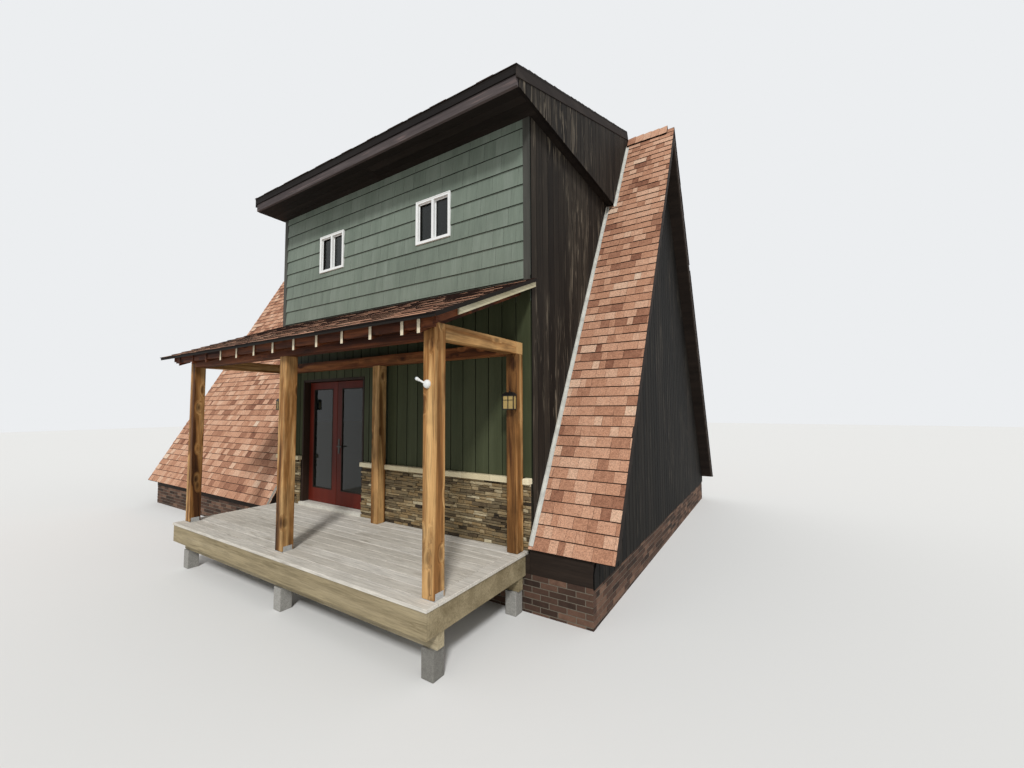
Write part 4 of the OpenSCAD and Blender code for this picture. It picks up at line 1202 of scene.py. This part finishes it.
capStones = {"short": 0.34, "long": 0.52, "joint": 0.0015, "chamfer": 0.007}
stock = newStock()
for x0, x1 in edgesAlong("wainscot_cap", 0):
    for a, b in runs(x1 - x0, capStones, rng):
        addBox(stock, (x0 + a + capStones["joint"], capLow.y, capLow.z),
               (x0 + b - capStones["joint"], capHigh.y, capHigh.z), rng.random(), capStones["chamfer"])
makePiece("stone_band_cap", stock, "cap", "cap_stone", stands=["wainscot_cap"])

soffit = {"rows": 4, "short": 1.8, "long": 3.0, "joint": 0.002, "chamfer": 0.003}
stock = newStock()
soffitLow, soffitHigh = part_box("dormer_soffit")


def addSoffitBoards(low, high, along, count):
    # boards side by side with open joints, along x or along y
    across, joint = 1 - along, soffit["joint"]
    wide = (high[across] - low[across]) / count
    for i in range(count):
        a, b = list(low), list(high)
        a[across] += wide * i + joint
        b[across] = low[across] + wide * (i + 1) - joint
        for start, end in runs(high[along] - low[along], soffit, rng):
            a[along], b[along] = low[along] + start, low[along] + end - joint
            addBox(stock, a, b, rng.random(), soffit["chamfer"])


addSoffitBoards(soffitLow, (soffitHigh.x, wallFace, soffitHigh.z), 0, soffit["rows"])
addSoffitBoards((dormerRight, wallFace, soffitLow.z), soffitHigh, 1, 1)
makePiece("dormer_soffit_boards", stock, "soffit", "soffit_paint", stands=["dormer_soffit"])
print("shoes, cap stones and soffit set")


# Windows

def addFrame(stock, side, cell, bar, near, far, chamfer=0.002):
    # four bars round the inside of a rectangle, from one depth to another
    a, b, c, d = cell
    for part in ((a, b, a + bar, d), (c - bar, b, c, d), (a + bar, b, c - bar, b + bar),
                 (a + bar, d - bar, c - bar, d)):
        addPanel(stock, side, part, near, far, chamfer=chamfer)


sash = {"bar": 0.014, "near": 0.026, "far": 0.014, "seal": 0.005, "sealBack": 0.006, "sealCut": 0.001,
        "latchIn": 0.015, "latchWide": 0.011, "latchOut": 0.006, "latchHalf": 0.03, "latchCut": 0.002,
        "fin": 0.016, "finOut": 0.004, "finIn": 0.001}
stock, seals = newStock(), newStock()
glassLow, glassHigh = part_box("window_glass")
pane = facing((0, glassLow.y, 0), xAxis)
bar = sash["bar"]
for i, (x0, x1) in enumerate(edgesAlong("window_glass", 0)):
    near = sash["near"] if i % 2 == 0 else sash["far"]
    addFrame(stock, pane, (x0, glassLow.z, x1, glassHigh.z), bar, near, 0)
    addFrame(seals, pane, (x0 + bar, glassLow.z + bar, x1 - bar, glassHigh.z - bar), sash["seal"],
             near - sash["sealBack"], 0, sash["sealCut"])
    if i % 2 == 0:
        # the latch on the meeting bar
        latch = at(pane, x1 - sash["latchIn"], (glassLow.z + glassHigh.z) / 2, near)
        addBox(stock, latch + Vector((0, -sash["latchOut"], -sash["latchHalf"])),
               latch + Vector((sash["latchWide"], 0, sash["latchHalf"])), chamfer=sash["latchCut"])
makePiece("window_sashes", stock, "whiteFrame", "window_white")
makePiece("window_seals", seals, "dripEdge", "window_white")

trim = facing((0, frameLow.y, 0), xAxis)
stock, inset = newStock(), sash["finIn"]
for x0, x1 in windows:
    addFrame(stock, trim, (x0 + inset, frameLow.z + inset, x1 - inset, frameHigh.z - inset), sash["fin"],
             sash["finOut"], 0)
makePiece("window_nail_fins", stock, "whiteFrame", "window_white")
print("window sashes set")

# Doors: leaves, glazing beads, casing and threshold
door = {"round": 0.003, "bead": 0.016, "proud": 0.005, "proudCut": 0.004, "inside": 0.003,
        "insideCut": 0.003, "casing": 0.04, "thick": 0.017, "casingCut": 0.004, "slack": 0.0005,
        "ribs": 4, "rib": 0.004, "ribHigh": 0.002, "ribFirst": 0.010, "ribPitch": 0.012, "ribEnd": 0.004}
for hand in ("left", "right"):
    leaf, glass, body = hand + "_door_leaf", hand + "_door_glass", hand + "_leaf"
    softened(leaf, hand + "_glazed_leaf", door["round"], "doorRed", "door_red", rng, body)
    leafLow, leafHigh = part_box(leaf)
    paneLow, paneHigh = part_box(glass)
    stock = newStock()
    outer = facing((0, leafLow.y, 0), xAxis)
    addFrame(stock, outer, (paneLow.x, paneLow.z, paneHigh.x, paneHigh.z), door["bead"],
             door["proud"], leafLow.y - paneLow.y, door["proudCut"])
    inner = facing((0, leafHigh.y, 0), -xAxis)
    addFrame(stock, inner, (-paneHigh.x, paneLow.z, -paneLow.x, paneHigh.z), door["bead"],
             door["inside"], paneHigh.y - leafHigh.y, door["insideCut"])
    makePiece(hand + "_glazing_beads", stock, "frameBrown", "frame_brown", body=body)

stock = newStock()
face = facing((0, doorLow.y, 0), xAxis)
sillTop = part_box("door_threshold")[1].z
wide, slack = door["casing"], door["slack"]
left, right = doorLow.x + wide, doorHigh.x - wide
for a, b, c, d in ((doorLow.x, sillTop, left, doorHigh.z), (right, sillTop, doorHigh.x, doorHigh.z),
                   (left, doorHigh.z - wide, right, doorHigh.z)):
    addPanel(stock, face, (a + slack, b, c - slack, d), door["thick"], 0, rng.random(),
             door["casingCut"])
makePiece("door_casing", stock, "frameBrown", "frame_brown")

stock = newStock()
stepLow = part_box("door_threshold")[0]
for i in range(door["ribs"]):
    y = stepLow.y + door["ribFirst"] + i * door["ribPitch"]
    addBox(stock, (doorLow.x + door["ribEnd"], y, sillTop - slack),
           (doorHigh.x - door["ribEnd"], y + door["rib"], sillTop + door["ribHigh"]))
makePiece("threshold_ribs", stock, "threshold", "threshold_metal")
print("door leaves and casing set")

# Lanterns and flood light
lamp = {"plate": 0.008, "inset": 0.005, "bar": 0.010, "depth": 0.068, "high": 0.164, "pane": 0.0012,
        "paneCut": 0.0005, "cross": 0.006, "crossUp": 0.66, "crossOut": 0.004, "crossCut": 0.001}
panes, bars = newStock(), newStock()
lampLow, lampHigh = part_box("lanterns")
bar, inset, depth = lamp["bar"], lamp["inset"], lamp["depth"]
glassY = lampHigh.y - lamp["plate"] - depth


def addPane(side, cell):
    addPanel(panes, side, cell, lamp["pane"], 0, chamfer=lamp["paneCut"])


for x0, x1 in groupsAlong("lanterns", 0):
    middleX, foot = (x0 + x1) / 2, lampLow.z + bar
    top = lampLow.z + lamp["high"] - bar
    halfWide = (x1 - x0) / 2 - bar          # the hipped cap reaches one bar past the glass
    glassFront = facing((middleX, glassY + inset, 0), xAxis)
    cross = foot + (top - foot) * lamp["crossUp"]
    for a, b in ((-halfWide + bar, -bar / 2), (bar / 2, halfWide - bar)):
        addPane(glassFront, (a, foot, b, top))
        addBox(bars, at(glassFront, a, cross, lamp["crossOut"]),
               at(glassFront, b, cross + lamp["cross"], 0), chamfer=lamp["crossCut"])
    for hand in (-1, 1):
        glassSide = facing((middleX + hand * (halfWide - inset), glassY, 0), yAxis * hand)
        a, b = sorted((hand * bar, hand * (depth - bar)))
        addPane(glassSide, (a, foot, b, top))
makePiece("lantern_panes", panes, "amber", "lantern_black")
makePiece("lantern_cross_bars", bars, "black", "lantern_black")

floodLight = {"reach": 0.016, "aim": (-0.663, -0.557, 0.5), "sides": 24,
              # piece: finish, start and end along the aim, and the radius at each
              "parts": {"flood_lens": ("lens", 0.010, 0.017, 0.0125, 0.0115),
                        "flood_collar": ("lampWhite", -0.024, -0.012, 0.0115, 0.0135)}}
lightLow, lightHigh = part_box("flood_light")
reach = floodLight["reach"]
head = Vector((lightLow.x + reach, lightLow.y + reach, lightHigh.z - reach))
aim = Vector(floodLight["aim"]).normalized()
for name, (look, start, end, wide, endWide) in floodLight["parts"].items():
    stock = newStock()
    addRod(stock, head + aim * start, head + aim * end, wide, floodLight["sides"], endRadius=endWide)
    makePiece(name, stock, look, "lamp_white")
print("lights set")


# Camera, light and floor

viewpoint = {"place": (7.340, -7.0897, 2.292), "turnLeft": 32.263, "tiltUp": 3.27, "roll": -0.265,
             "lens": 14.68, "sensor": 36, "farthest": 300}
lighting = {"fill": 0.62, "sun": 2.4, "sunSize": 9, "sunAim": (-0.42, 0.62, -0.66),
            "backdrop": (236, 238, 240)}
floorLook = {"reach": 60, "colour": (222, 222, 220), "roughness": 0.9}


def setCamera(view):
    cam = linked("camera", bpy.data.cameras.new("camera"))
    cam.data.sensor_width = view["sensor"]
    cam.data.lens = view["lens"]
    cam.data.clip_end = view["farthest"]
    turn = Matrix.Rotation(math.radians(view["turnLeft"]), 4, "Z")
    tilt = Matrix.Rotation(math.radians(90 + view["tiltUp"]), 4, "X")
    roll = Matrix.Rotation(math.radians(view["roll"]), 4, "Z")
    cam.matrix_world = Matrix.Translation(view["place"]) @ turn @ tilt @ roll
    bpy.context.scene.camera = cam


def setLight(light):
    sun = linked("sun", bpy.data.lights.new("sun", "SUN"))
    sun.data.energy = light["sun"]
    sun.data.angle = math.radians(light["sunSize"])
    sun.rotation_euler = Vector(light["sunAim"]).to_track_quat("-Z", "Y").to_euler()
    world = bpy.data.worlds.new("studio")
    bpy.context.scene.world = world
    world.use_nodes = True
    tree = world.node_tree
    path = add(tree, "LightPath").outputs
    seen = calc(tree, "MAXIMUM", path["Is Camera Ray"],
                calc(tree, "MAXIMUM", path["Is Glossy Ray"], path["Is Transmission Ray"]))
    fill = add(tree, "Background", {"Color": grey(1), "Strength": light["fill"]})
    back = add(tree, "Background", {"Color": srgb(*light["backdrop"]), "Strength": 1.0})
    both = add(tree, "MixShader", {0: seen, 1: fill.outputs[0], 2: back.outputs[0]})
    tree.links.new(both.outputs[0], tree.nodes["World Output"].inputs["Surface"])
    bpy.context.scene.view_settings.view_transform = "Standard"


def setFloor(look):
    far = look["reach"]
    mesh = bpy.data.meshes.new("studio_floor")
    mesh.from_pydata([(*p, 0) for p in rectangle((-far, -far, far, far))], [], [(0, 1, 2, 3)])
    mat, _, shader = newMaterial("pale_floor", look["roughness"], specular=0.1)
    shader.inputs["Base Color"].default_value = srgb(*look["colour"])
    mesh.materials.append(mat)
    linked("studio_floor", mesh)


setCamera(viewpoint)
setLight(lighting)
setFloor(floorLook)
print("camera, light and floor set")
